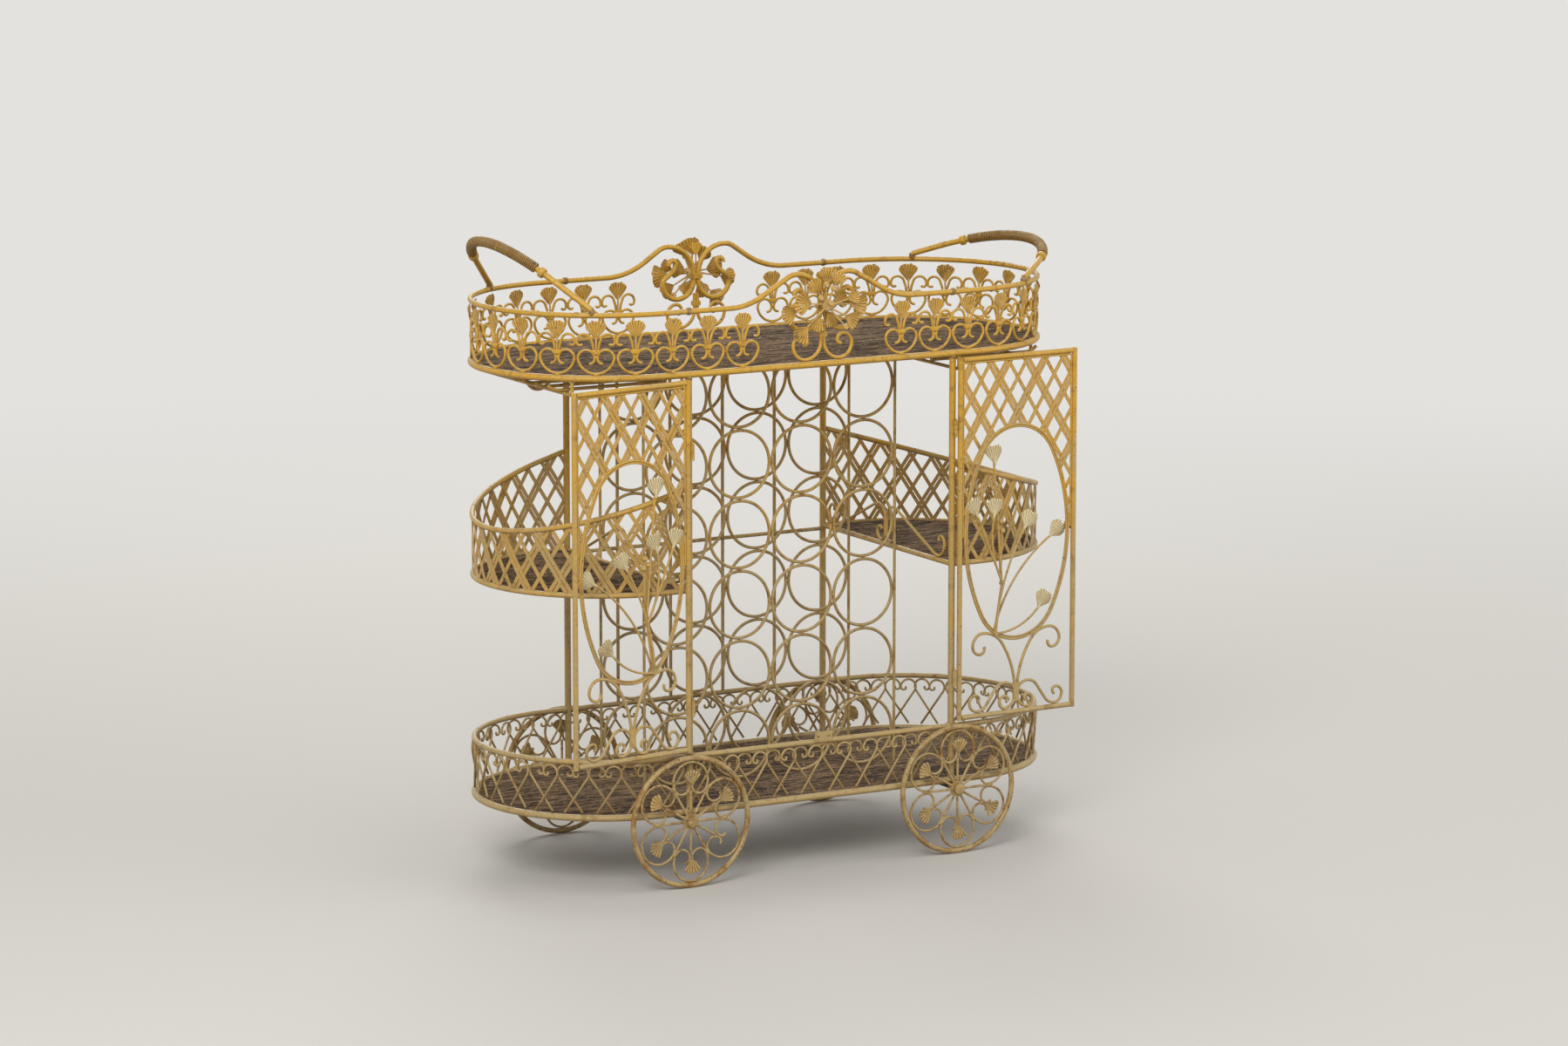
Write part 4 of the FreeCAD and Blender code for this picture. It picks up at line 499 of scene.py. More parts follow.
def worn_enamel(name, paint, dulled, stained, rubbed_share, chipped_share, gloss=0.4, ribbed=False):
    """Brushed enamel over forged iron: it greys towards the floor and darkens below as painted shade, pales
    on top as painted highlight, stains brown, rubs pale and chips.
    """
    finish = bpy.context.scene.trolley_finish
    material = bare_material(name)
    tree = material.node_tree
    where = add_node(tree, "ShaderNodeTexCoord")
    place = where.outputs["Object"]
    height = add_node(tree, "ShaderNodeSeparateXYZ", links={0: place}).outputs["Z"]
    facing = add_node(
        tree, "ShaderNodeSeparateXYZ", links={0: where.outputs["Normal"]}
    ).outputs["Z"]
    # The paint is dulled in clouds about 60 mm across, and more near the floor as painted shade
    cloud = add_node(
        tree, "ShaderNodeTexNoise", {"Scale": 1 / (60 * MM), "Detail": 3.0}, {"Vector": place}
    ).outputs["Fac"]
    fall = add_node(
        tree,
        "ShaderNodeMapRange",
        {"From Min": 0.1, "From Max": 0.8, "To Min": dulled + 0.35, "To Max": dulled - 0.5},
        {"Value": height},
    ).outputs["Result"]
    dull_cloud_and_floor_shade = add_node(
        tree, "ShaderNodeMath", links={0: cloud, 1: fall}, operation="ADD", use_clamp=True
    ).outputs[0]
    dull_and_floor_shade_mask = add_node(
        tree,
        "ShaderNodeMapRange",
        {"From Min": 0.3, "From Max": 0.9, "To Max": 0.85},
        {"Value": dull_cloud_and_floor_shade},
    ).outputs["Result"]
    # Painted shade darkens the faces that look down, and a painted highlight pales the faces that look up
    painted_underside_shade = add_node(
        tree,
        "ShaderNodeMapRange",
        {"From Min": 0.1, "From Max": -0.95, "To Max": 0.6},
        {"Value": facing},
    ).outputs["Result"]
    painted_upward_highlight = add_node(
        tree,
        "ShaderNodeMapRange",
        {"From Min": 0.35, "From Max": 1.0, "To Max": 0.4},
        {"Value": facing},
    ).outputs["Result"]
    # The coat is thin and lets brown through in soft blooms about 22 mm across
    bloom = patches(tree, place, 22, stained, 0.22, 5.0)
    colour = coats(
        tree,
        paint,
        (finish.dull, dull_and_floor_shade_mask),
        ([c * 0.55 for c in finish.stain], painted_underside_shade),
        (finish.pale, painted_upward_highlight),
        (finish.stain, bloom),
    )
    # Brush marks change the tone a little, every 5 mm
    stroke = add_node(
        tree, "ShaderNodeTexNoise", {"Scale": 1 / (5 * MM), "Detail": 3.0}, {"Vector": place}
    ).outputs["Fac"]
    tone = add_node(
        tree, "ShaderNodeMapRange", {"To Min": 0.8, "To Max": 1.2}, {"Value": stroke}
    ).outputs["Result"]
    colour = add_node(
        tree, "ShaderNodeVectorMath", links={0: colour, 1: tone}, operation="MULTIPLY"
    ).outputs[0]
    # Painted shade darkens the grooves of a pressed leaf, and its ribs are paled by wear and a painted
    # highlight
    if ribbed:
        groove = add_node(tree, "ShaderNodeAttribute", attribute_name="groove").outputs["Fac"]
        painted_groove_shade = add_node(
            tree, "ShaderNodeMapRange", {"From Min": 0.35, "To Max": 0.8}, {"Value": groove}
        ).outputs["Result"]
        rib_wear_and_highlight = add_node(
            tree,
            "ShaderNodeMapRange",
            {"From Min": 0.3, "From Max": 0.0, "To Max": 0.45},
            {"Value": groove},
        ).outputs["Result"]
        colour = coats(tree, colour, (finish.pale, rib_wear_and_highlight), ([c * 0.45 for c in finish.stain], painted_groove_shade))
    # Hands and cloths rub it pale in patches of about 8 mm, and chips of about 3 mm go down to rust
    rub_and_highlight = patches(tree, place, 8, rubbed_share, 0.1)
    chipped = patches(tree, place, 3.2, chipped_share, 0.05, 3.0)
    colour = coats(tree, colour, (finish.pale, rub_and_highlight), (finish.rust, chipped))
    relief = add_node(
        tree, "ShaderNodeMath", {1: -1.0}, {0: chipped, 2: stroke}, operation="MULTIPLY_ADD"
    ).outputs[0]
    bump = add_node(
        tree, "ShaderNodeBump", {"Strength": 0.35, "Distance": 0.25 * MM}, {"Height": relief}
    )
    rough = add_node(
        tree, "ShaderNodeMapRange", {"To Min": gloss, "To Max": 0.75}, {"Value": bloom}
    ).outputs["Result"]
    shader = add_node(
        tree,
        "ShaderNodeBsdfPrincipled",
        {"IOR": 1.5, "Specular IOR Level": 0.5},
        {"Base Color": colour, "Roughness": rough, "Normal": bump.outputs["Normal"]},
    )
    add_node(tree, "ShaderNodeOutputMaterial", links={"Surface": shader.outputs[0]})


def strand_wire():
    """Brown lacquered wire: each strand has its own tone, down to near black as painted shade in the weave,
    with painted highlights in pale patches.
    """
    finish = bpy.context.scene.trolley_finish
    tree = bare_material("brown_lacquered_wire").node_tree
    place = add_node(tree, "ShaderNodeTexCoord").outputs["Object"]
    # Tone changes from strand to strand, every 7 mm across and 44 mm along, and its near-black end is
    # painted shade in the weave
    stretched = add_node(
        tree, "ShaderNodeMapping", {"Scale": (0.16, 1, 1)}, {"Vector": place}
    ).outputs[0]
    tone = add_node(
        tree,
        "ShaderNodeTexNoise",
        {"Scale": 1 / (7 * MM), "Detail": 3.0, "Roughness": 0.7},
        {"Vector": stretched},
    ).outputs["Fac"]
    spread = add_node(
        tree, "ShaderNodeMapRange", {"From Min": 0.42, "From Max": 0.6}, {"Value": tone}
    ).outputs["Result"]
    # Pale patches about 7 mm across are painted highlights on the strands
    rub_and_highlight = patches(tree, place, 7, 0.28, 0.12)
    colour = coats(
        tree,
        [c * 0.14 for c in finish.strand],
        (finish.strand, spread),
        (linear("#B39E7C"), rub_and_highlight),
    )
    grain = add_node(
        tree,
        "ShaderNodeTexNoise",
        {"Scale": 1 / (7 * MM), "Detail": 4.0, "Roughness": 0.6},
        {"Vector": place},
    ).outputs["Fac"]
    bump = add_node(
        tree, "ShaderNodeBump", {"Strength": 0.5, "Distance": 0.3 * MM}, {"Height": grain}
    )
    shader = add_node(
        tree,
        "ShaderNodeBsdfPrincipled",
        {"Roughness": 0.5, "IOR": 1.48},
        {"Base Color": colour, "Normal": bump.outputs["Normal"]},
    )
    add_node(tree, "ShaderNodeOutputMaterial", links={"Surface": shader.outputs[0]})


def turned_steel():
    """Bare turned steel that has browned: fine rings round the axle and soft rust blooms."""
    tree = bare_material("browned_turned_steel").node_tree
    place = add_node(tree, "ShaderNodeTexCoord").outputs["Object"]
    bloom = patches(tree, place, 12, 0.5, 0.15)
    rust = bpy.context.scene.trolley_finish.rust
    colour = coats(tree, linear("#6E655A"), (rust, bloom))
    # The tool left a ring every 0.8 mm
    lathe = add_node(
        tree,
        "ShaderNodeTexWave",
        {"Scale": 1 / (0.8 * MM) / 20, "Distortion": 1.5},
        {"Vector": place},
        bands_direction="Y",
    ).outputs["Fac"]
    bump = add_node(
        tree, "ShaderNodeBump", {"Strength": 0.3, "Distance": 0.1 * MM}, {"Height": lathe}
    )
    rough = add_node(
        tree, "ShaderNodeMapRange", {"To Min": 0.36, "To Max": 0.75}, {"Value": bloom}
    ).outputs["Result"]
    shader = add_node(
        tree,
        "ShaderNodeBsdfPrincipled",
        {"Metallic": 0.75},
        {"Base Color": colour, "Roughness": rough, "Normal": bump.outputs["Normal"]},
    )
    add_node(tree, "ShaderNodeOutputMaterial", links={"Surface": shader.outputs[0]})


def material_of(node):
    """The finish of each CAD node, by what it is."""
    if node.startswith("axle_") and node != "axle_bearings":
        return "browned_turned_steel"
    if node.endswith("_floor"):
        return "brown_lacquered_wire"
    if node.endswith("_leaves") or node.startswith("bouquet"):
        return "ochre_enamel_on_pressed_leaf"
    if node.startswith("wheel"):
        return "scuffed_enamel_on_wheel_iron"
    if node.endswith("_lattice"):
        return "ochre_enamel_on_strip"
    if node.startswith(("rack", "back", "lower_gallery", "glass")):
        return "dulled_enamel_on_wire"
    if node.startswith("grip"):
        return "hand_rubbed_enamel"
    return "ochre_enamel_on_bar"


class TROLLEY_OT_finishes(bpy.types.Operator):
    """Make the finishes and put them on the ironwork"""

    bl_idname = "trolley.finishes"
    bl_label = "Finishes"

    def execute(self, context):
        finish = context.scene.trolley_finish
        worn_enamel("ochre_enamel_on_bar", finish.ochre, 0.25, 0.35, 0.14, 0.10)
        worn_enamel("ochre_enamel_on_strip", finish.strip, 0.20, 0.30, 0.16, 0.10)
        worn_enamel(
            "ochre_enamel_on_pressed_leaf", finish.leaf, 0.10, 0.40, 0.22, 0.12, ribbed=True
        )
        worn_enamel(
            "bleached_enamel_on_pressed_leaf", finish.bleached, 0.0, 0.25, 0.3, 0.08, ribbed=True
        )
        worn_enamel("dulled_enamel_on_wire", finish.ochre, 0.45, 0.45, 0.14, 0.14)
        worn_enamel("scuffed_enamel_on_wheel_iron", finish.strip, 0.10, 0.60, 0.20, 0.22)
        worn_enamel("hand_rubbed_enamel", finish.grip, 0.10, 0.55, 0.10, 0.20, 0.34)
        worn_enamel("browned_weld", finish.grip, 0.10, 0.50, 0.30, 0.20)
        strand_wire()
        turned_steel()
        for name, node in frame["nodes"].items():
            dress(node, material_of(name))
        return {"FINISHED"}


# Woven floors


def strand_mat(name, low_x, high_x, height, node):
    """Wavy strands side by side along the trolley, cut to the rim's outline."""
    sizes = bpy.context.scene.trolley_sizes
    depth = tray_radius - rim_wire
    rows = int(2 * depth / sizes.strand_pitch)
    columns = int((high_x - low_x) / sizes.strand_step)
    nothing_selected()
    bpy.ops.mesh.primitive_grid_add(x_subdivisions=columns, y_subdivisions=rows, size=2)
    mat = bpy.context.object
    edit(mat)
    bpy.ops.mesh.select_all(action="SELECT")
    bpy.ops.transform.resize(value=(1, depth * (1 - 1 / rows), 1))
    bpy.ops.mesh.delete(type="ONLY_FACE")
    bpy.ops.mesh.select_mode(type="EDGE")
    mesh = bmesh.from_edit_mesh(mat.data)
    for strut in mesh.edges:
        one, other = strut.verts
        strut.select_set(abs(one.co.y - other.co.y) > sizes.strand_pitch / 4)
    bmesh.update_edit_mesh(mat.data)
    bpy.ops.mesh.delete(type="EDGE")
    bpy.ops.mesh.select_mode(type="VERT")
    for y in sorted({round(vertex.co.y, 6) for vertex in mesh.verts}):
        over = math.sqrt(max(depth**2 - y**2, 0))
        left = max(low_x, -half_straight - over)
        right = min(high_x, half_straight + over)
        select_points(mat, lambda spot: abs(spot.y - y) < 1e-4)
        bpy.ops.transform.resize(value=((right - left) / 2, 1, 1), center_override=(0, 0, 0))
        bpy.ops.transform.translate(value=((left + right) / 2, 0, height))
    bpy.ops.mesh.select_all(action="SELECT")
    bpy.ops.transform.vertex_random(offset=sizes.strand_wander, seed=len(name))
    bpy.ops.transform.resize(value=(1, 1, 0.3), center_override=(0, 0, height))
    leave_edit()
    make_active(mat)
    bpy.ops.object.convert(target="CURVE")
    curve = bpy.context.object
    for spline in curve.data.splines:
        spline.type = "NURBS"
        spline.order_u = 4
        spline.use_endpoint_u = True
        spline.resolution_u = 2
    curve.data.bevel_depth = sizes.strand_radius
    curve.data.bevel_resolution = 0
    curve.data.use_fill_caps = True
    make_active(curve)
    bpy.ops.object.convert(target="MESH")
    mat = join([bpy.context.object], name)
    smooth(mat, 80)
    hand_over(mat, "stand", "brown_lacquered_wire", "woven_mat", node)


class TROLLEY_OT_floors(bpy.types.Operator):
    """Lay the woven floors of the trays and baskets"""

    bl_idname = "trolley.floors"
    bl_label = "Woven floors"

    def execute(self, context):
        for name in ("top_tray_floor", "lower_tray_floor", "basket_left_floor", "basket_right_floor"):
            low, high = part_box(name)
            strand_mat(name + "_strands", low.x, high.x, (low.z + high.z) / 2, name)
        return {"FINISHED"}


# Leaves


def pressed_leaf(name, width, height, ribs, cup, curl=0.0, rounding=0.13):
    """A ginkgo leaf that opens up from the origin: ribs fan out from its stalk and its edge is notched.

    The cup folds its two sides back by this many degrees, the curl bends its tip outwards, and
    the rounding is how much shorter its two sides are than its middle.
    """
    sizes = bpy.context.scene.trolley_sizes
    columns, rows = 2 * ribs, 6
    waist = width * 0.1
    widest_share = 0.72
    spread = math.asin(min(width / 2 / height / widest_share, 1))
    notch_share, notch_width, ragged_share, groove_share = 0.06, 0.12, 0.05, 0.06
    # A column that is shaped waits this far up, where the next selection misses it
    aside = 10 * height
    nothing_selected()
    bpy.ops.mesh.primitive_grid_add(x_subdivisions=columns, y_subdivisions=rows, size=1)
    fan = bpy.context.object
    fan.name = name
    edit(fan)
    bpy.ops.mesh.select_all(action="SELECT")
    bpy.ops.transform.translate(value=(0, 0.5, 0))
    bpy.ops.transform.resize(value=(waist, height, 1), center_override=(0, 0, 0))
    rng = random.Random(ribs)
    for column in range(columns + 1):
        x = (column / columns - 0.5) * waist
        share = column / columns * 2 - 1
        step = waist / columns
        notch = notch_share * math.exp(-((share / notch_width) ** 2))
        edge = 0.95 - rounding * abs(share) ** 3 - notch + rng.uniform(-ragged_share, ragged_share)
        select_points(fan, lambda spot: abs(spot.x - x) < step / 3 and abs(spot.z) < step)
        if column % 2:
            bpy.ops.transform.translate(value=(0, 0, sizes.rib_depth))
        else:
            mark_selected(fan, "groove", 1.0)
            edge -= groove_share
        bpy.ops.transform.resize(value=(1, edge, 1), center_override=(0, 0, 0))
        bpy.ops.transform.translate(value=(0, 0, aside))
        bpy.ops.transform.rotate(
            value=spread * share, orient_axis="Z", center_override=(0, 0, 0)
        )
        bpy.ops.transform.rotate(
            value=math.radians(cup) * share, orient_axis="Y", center_override=(0, 0, aside)
        )
    bpy.ops.mesh.select_all(action="SELECT")
    bpy.ops.transform.translate(value=(0, 0, -aside))
    # The ribs start flat at the stalk
    select_points(fan, lambda spot: spot.xy.length < height * 0.12)
    bpy.ops.transform.resize(value=(1, 1, 0.2), center_override=(0, 0, 0))
    for share in (0.45, 0.7, 0.88):
        select_points(fan, lambda spot: spot.xy.length > height * share)
        bpy.ops.transform.rotate(
            value=math.radians(curl / 3), orient_axis="X", center_override=(0, height * share, 0)
        )
    leave_edit()
    modify(fan, "SOLIDIFY", thickness=sizes.leaf_thickness, offset=0)
    modify(fan, "SUBSURF", levels=1, render_levels=1)
    settle(fan, turned(90, "X"))
    smooth(fan, 50)
    return fan


def leaf_stem(length, wire):
    """A thin stem below a leaf, thicker at its foot, from the origin down."""
    nothing_selected()
    bpy.ops.mesh.primitive_cylinder_add(
        vertices=8, radius=wire, depth=length, location=(0, 0, -length / 2)
    )
    stem = bpy.context.object
    settle(stem)
    edit(stem)
    select_points(stem, lambda spot: spot.z > -length / 2)
    bpy.ops.transform.resize(value=(0.8, 0.8, 1), center_override=(0, 0, 0))
    select_points(stem, lambda spot: spot.z < -length / 2)
    bpy.ops.transform.resize(value=(1.2, 1.2, 1), center_override=(0, 0, 0))
    leave_edit()
    smooth(stem, 50)
    return stem


def leaf_socket(radius, below, above):
    """The end of a stem that is hammered thin and welded along the foot of a leaf."""
    nothing_selected()
    bpy.ops.mesh.primitive_cylinder_add(
        vertices=12, radius=radius, depth=below + above, location=(0, 0, (above - below) / 2)
    )
    socket = bpy.context.object
    settle(socket)
    edit(socket)
    bpy.ops.mesh.select_all(action="SELECT")
    bpy.ops.mesh.bisect(plane_co=(0, 0, 0), plane_no=(0, 0, 1))
    bpy.ops.transform.resize(value=(1.15, 1, 1), center_override=(0, 0, 0))
    select_points(socket, lambda spot: spot.z > above / 2)
    bpy.ops.transform.resize(value=(0.35, 0.6, 1), center_override=(0, 0, 0))
    leave_edit()
    modify(socket, "BEVEL", width=radius * 0.25, segments=2)
    smooth(socket, 60)
    return socket


def nudged(matrix, index, degrees=3.0):
    """The same place, leaning a little differently from its neighbours."""
    rng = random.Random(index)
    turn = turned(rng.uniform(-degrees, degrees), "Y")
    twist = turned(rng.uniform(-degrees, degrees) * 2, "Z")
    return matrix @ turn @ twist


class TROLLEY_OT_gallery_leaves(bpy.types.Operator):
    """Press the leaves of the top gallery"""

    bl_idname = "trolley.gallery_leaves"
    bl_label = "Gallery leaves"

    def execute(self, context):
        low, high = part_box("top_gallery_leaves")
        width, height, socket_radius, socket_reach = 28 * MM, 30 * MM, 1.3 * MM, 8 * MM
        wall_half_width = 13 * MM
        base = high.z - height
        fan = pressed_leaf("gallery_leaf", width, height, 8, 12)
        fan = join([fan, leaf_socket(socket_radius, base - low.z, socket_reach)], "gallery_leaf")
        leaves = []
        for index, place in enumerate(gallery_places):
            spot = wall_matrix(place, wall_half_width, base)
            leaves.append(copy_to(fan, nudged(spot, index, 2.5)))
        discard(fan)
        whole = join(leaves, "gallery_pressed_leaves")
        hand_over(whole, "stand", "ochre_enamel_on_pressed_leaf", "painted_leaf", "top_gallery_leaves")
        return {"FINISHED"}


class TROLLEY_OT_gallery_scrolls(bpy.types.Operator):
    """Bend the apple-shaped rings and curls of the top gallery, with their collars and welds"""

    bl_idname = "trolley.gallery_scrolls"
    bl_label = "Gallery scrolls"

    def execute(self, context):
        wire = context.scene.trolley_sizes.gallery_wire
        base = rim_high.z + wire + 0.1 * MM
        ring_half_width = 27 * MM
        cusp = 23.2 * MM
        clasp_z, clasp_height = 32 * MM, 7 * MM
        clasp_half_width, clasp_half_depth = 6.4 * MM, 3.1 * MM
        curl_offset = 3 * MM
        # From the foot of the ring: its wide bottom, its shoulder and the end that turns into the cusp
        half = [(27 * MM, 75), (12.22 * MM, 195), (1.1 * MM, 0), (7 * MM, 95)]
        other = [(amount, -turn) for amount, turn in half]
        ring = bent_bar(*both_ways(0, 0, 0, other, half), wire, 12, 12)
        # From the clasp: the rise of the curl, its bow and its tip
        moves = [(55 * MM, -22), (10.5 * MM, -168), (4.6 * MM, -120)]
        curl = bent_bar(curl_offset, clasp_z, 88, moves, wire, 12, 11)
        strap = collar(clasp_half_width, clasp_half_depth, clasp_height, clasp_z)
        foot = bead(1.5 * wire, 4)
        settle(foot, Matrix.Translation((0, 0, -0.6 * wire)) @ Matrix.Diagonal((1.5, 1, 0.7, 1)))
        weld = bead(1.2 * wire, 5)
        settle(weld, Matrix.Translation((0, 0, cusp + 0.5 * wire)))
        motif = join([ring, curl, mirrored(curl), strap, foot, weld], "gallery_motif")
        made = []
        for index, place in enumerate(gallery_places):
            spot = wall_matrix(place, ring_half_width, base)
            made.append(copy_to(motif, nudged(spot, index + 50, 0.5)))
        discard(motif)
        whole = join(made, "gallery_scrollwork")
        hand_over(whole, "stand", "ochre_enamel_on_bar", "painted_wire", "top_gallery_scrolls")
        return {"FINISHED"}


class TROLLEY_OT_hearts(bpy.types.Operator):
    """Bend the crossing heart wires of the lower gallery"""

    bl_idname = "trolley.hearts"
    bl_label = "Lower gallery hearts"

    def execute(self, context):
        wire = context.scene.trolley_sizes.heart_wire
        low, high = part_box("lower_gallery_hearts")
        count = 48
        step = tray_length / count
        lobe = step / 4
        top = high.z - wire
        fall_turn = 124
        fall = math.radians(fall_turn)
        fall_z = top - lobe + lobe * math.cos(fall)
        down = (fall_z - low.z - wire) / math.sin(fall)
        # From the top of a lobe: back round into its curl, and on down to the rim
        back = [(lobe, 90), (4.6 * MM, 120), (2.4 * MM, 110)]
        on = [(lobe, -fall_turn), (down, 0)]
        right = bent_bar(*both_ways(lobe + 0.2 * wire, top, 0, back, on), wire, 8, 14)
        left = mirrored(right)
        made = []
        for half, way in ((right, 1), (left, -1)):
            settle(half, Matrix.Translation((way * lobe, 0, 0)))
            for index in range(count):
                place = (index + 0.5) * step - way * lobe
                spot = wall_matrix(place, 0.75 * step, 0, way * 1.05 * wire)
                made.append(copy_to(half, nudged(spot, index, 0.4)))
        discard(right, left)
        whole = join(made, "lower_gallery_heart_wires")
        hand_over(whole, "stand", "dulled_enamel_on_wire", "painted_wire", "lower_gallery_hearts")
        return {"FINISHED"}


def berry(radius):
    """A round berry with a dimple and a short neck behind."""
    nothing_selected()
    bpy.ops.mesh.primitive_uv_sphere_add(
        segments=16, ring_count=10, radius=radius, rotation=(math.radians(90), 0, 0)
    )
    ball = bpy.context.object
    settle(ball)
    edit(ball)
    select_points(ball, lambda spot: spot.y < -radius * 0.9)
    bpy.ops.transform.translate(value=(0, radius * 0.28, 0))
    select_points(ball, lambda spot: spot.y > radius * 0.9)
    bpy.ops.transform.translate(value=(0, radius * 0.5, 0))
    leave_edit()
    smooth(ball, 60)
    return ball


# Across and up as shares of the spray's reach, and size, of each leaf
bouquet_leaves = (
    (0.05, 0.70, 0.95),
    (-0.34, 0.46, 0.85),
    (-0.68, 0.10, 1.0),
    (0.42, 0.14, 0.9),
    (0.90, -0.02, 1.05),
    (0.66, -0.38, 0.9),
    (0.16, -0.36, 0.85),
    (-0.30, -0.42, 0.85),
    (-0.72, -0.62, 0.95),
    (-0.98, -0.14, 0.9),
    (0.30, 0.62, 0.8),
    (0.70, 0.16, 0.75),
)
bouquet_layers = (0.25, 0.55, 0.85)
bouquet_berries = ((-0.08, 0.50), (0.10, 0.40), (-0.22, 0.20), (0.02, 0.06), (0.44, -0.52))


class TROLLEY_OT_bouquets(bpy.types.Operator):
    """Gather the sprays of leaves and berries on the two crests"""

    bl_idname = "trolley.bouquets"
    bl_label = "Bouquets"

    def execute(self, context):
        reach, depth = 64 * MM, 13 * MM
        knot_radius, knot_rounding, knot_roughness = 9 * MM, 3.5 * MM, 0.5 * MM
        leaf_width, leaf_height, stem_wire = 32 * MM, 30 * MM, 1.4 * MM
        berry_radius, berry_step = 4.6 * MM, 2.3 * MM
        for side, facing in (("front", 0), ("rear", 180)):
            low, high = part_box("bouquet_" + side)
            back_y = high.y if facing == 0 else low.y
            whole = Matrix.Translation((0, back_y, rail_low.z)) @ turned(facing, "Z")
            knot = boss(knot_radius, depth, knot_rounding, knot_roughness)
            pieces = [copy_to(knot, whole)]
            discard(knot)
            for index, (x_share, z_share, scale) in enumerate(bouquet_leaves):
                x, z = x_share * reach, z_share * reach
                height = leaf_height * scale
                start = math.hypot(x, z) - height / 2
                fan = pressed_leaf("bouquet_leaf", leaf_width * scale, height, 8, 15, 14)
                stem = leaf_stem(start, stem_wire)
                fan = join([fan, stem], "bouquet_leaf")
                spot = (
                    Matrix.Translation((0, -depth * bouquet_layers[index % 3], 0))
                    @ Matrix.Rotation(math.atan2(x, z), 4, "Y")
                    @ Matrix.Translation((0, 0, start))
                )
                pieces.append(copy_to(fan, whole @ nudged(spot, index + 80, 4)))
                discard(fan)
            ball = berry(berry_radius)
            for index, (x_share, z_share) in enumerate(bouquet_berries):
                out = depth + berry_step * (1 + index % 2)
                spot = Vector((x_share * reach, -out, z_share * reach))
                from_knot = spot - Vector((0, -depth * 0.6, 0))
                stem = leaf_stem(from_knot.length, stem_wire)
                aim = from_knot.to_track_quat("Z", "Y").to_matrix().to_4x4()
                pieces.append(copy_to(stem, whole @ Matrix.Translation(spot) @ aim))
                discard(stem)
                pieces.append(copy_to(ball, whole @ Matrix.Translation(spot)))
            discard(ball)
            spray = join(pieces, side + "_bouquet")
            hand_over(
                spray, "stand", "ochre_enamel_on_pressed_leaf", "painted_leaf", "bouquet_" + side
            )
        return {"FINISHED"}


# Share of the door's width and height, lean in degrees and side of the lattice
spray_leaves = (
    (0.290, 0.735, -4, 1),
    (0.115, 0.590, -22, 1),
    (0.305, 0.585, 12, 1),
    (0.600, 0.542, 32, 1),
    (0.875, 0.500, 58, -1),
    (0.735, 0.312, 40, 1),
)


class TROLLEY_OT_door_leaves(bpy.types.Operator):
    """Press the leaves of the sprays on the two doors"""

    bl_idname = "trolley.door_leaves"
    bl_label = "Door leaves"

    def execute(self, context):
        width, height, layer_y = 30 * MM, 31 * MM, 3.5 * MM
        socket_radius, socket_below, socket_above = 1.9 * MM, 3 * MM, 10 * MM
        # The spray's field on the door, from the hinge and from the floor
        field_start, field_width, field_low, field_height = 8 * MM, 206 * MM, 208.5 * MM, 547.5 * MM
        fan = pressed_leaf("spray_leaf", width, height, 9, 14, 10, 0.24)
        fan = join([fan, leaf_socket(socket_radius, socket_below, socket_above)], "spray_leaf")
        for side, way, opened in (("left", 1, -171), ("right", -1, 182)):
            hinge = Vector(hinges[side + "_door"]["pos_m"])
            swing = Matrix.Translation((hinge.x, hinge.y, 0)) @ turned(opened, "Z")
            leaves = []
            for index, (x_share, z_share, leaning, side_of) in enumerate(spray_leaves):
                lean = math.radians(leaning)
                up = Vector((math.sin(lean), 0, math.cos(lean)))
                x = field_start + x_share * field_width
                z = field_low + z_share * field_height
                root = Vector((x, 0, z)) - up * (height / 2)
                place = Matrix.Translation((way * root.x, side_of * layer_y, root.z))
                place = place @ turned(way * leaning, "Y")
                leaves.append(copy_to(fan, swing @ nudged(place, index + 120, 3)))
            spray = join(leaves, side + "_door_pressed_leaves")
            hand_over(
                spray,
                side + "_door",
                "bleached_enamel_on_pressed_leaf",
                "painted_leaf",
                "door_%s_leaves" % side,
            )
        discard(fan)
        return {"FINISHED"}


class TROLLEY_OT_wheel_leaves(bpy.types.Operator):
    """Press the leaves on the outer faces of the wheels"""

    bl_idname = "trolley.wheel_leaves"
    bl_label = "Wheel leaves"

    def execute(self, context):
        width, height, from_hub, outward = 24 * MM, 24.5 * MM, 56.3 * MM, 2.9 * MM
        fan = pressed_leaf("wheel_leaf", width, height, 6, 8)
        for corner in corners:
            hub = Vector(hinges[corner + "_wheel"]["pos_m"])
            facing = turned(180 if hub.y > 0 else 0, "Z")
            leaves = []
            for index in range(6):
                # One leaf has been lost from the near wheel
                if corner == "front_left" and index == 2:
                    continue
                place = (
                    Matrix.Translation(hub)
                    @ facing
                    @ turned(60 * index, "Y")
                    @ Matrix.Translation((0, -outward, from_hub))
                )
                leaves.append(copy_to(fan, nudged(place, index, 3)))
            whole = join(leaves, corner + "_wheel_pressed_leaves")
            hand_over(
                whole,
                corner + "_wheel",
                "ochre_enamel_on_pressed_leaf",
                "painted_leaf",
                "wheel_%s_leaves" % corner,
            )
        discard(fan)
        return {"FINISHED"}


def spoke_end(start, joint, wire):
    """The last stretch of a spoke, up from this height to a weld between two scrolls."""
    nothing_selected()
    bpy.ops.mesh.primitive_cylinder_add(
        vertices=10, radius=wire, depth=joint - start, location=(0, 0, (joint + start) / 2)
    )
    stretch = bpy.context.object
    settle(stretch)
    edit(stretch)
    select_points(stretch, lambda spot: spot.z > (joint + start) / 2)
    bpy.ops.transform.resize(value=(0.8, 0.8, 1), center_override=(0, 0, 0))
    leave_edit()
    smooth(stretch, 50)
    weld = bead(1.9 * wire, 6)
    settle(weld, Matrix.Translation((0, 0, joint)) @ Matrix.Diagonal((1, 0.75, 1.3, 1)))
    return join([stretch, weld], "spoke_end")


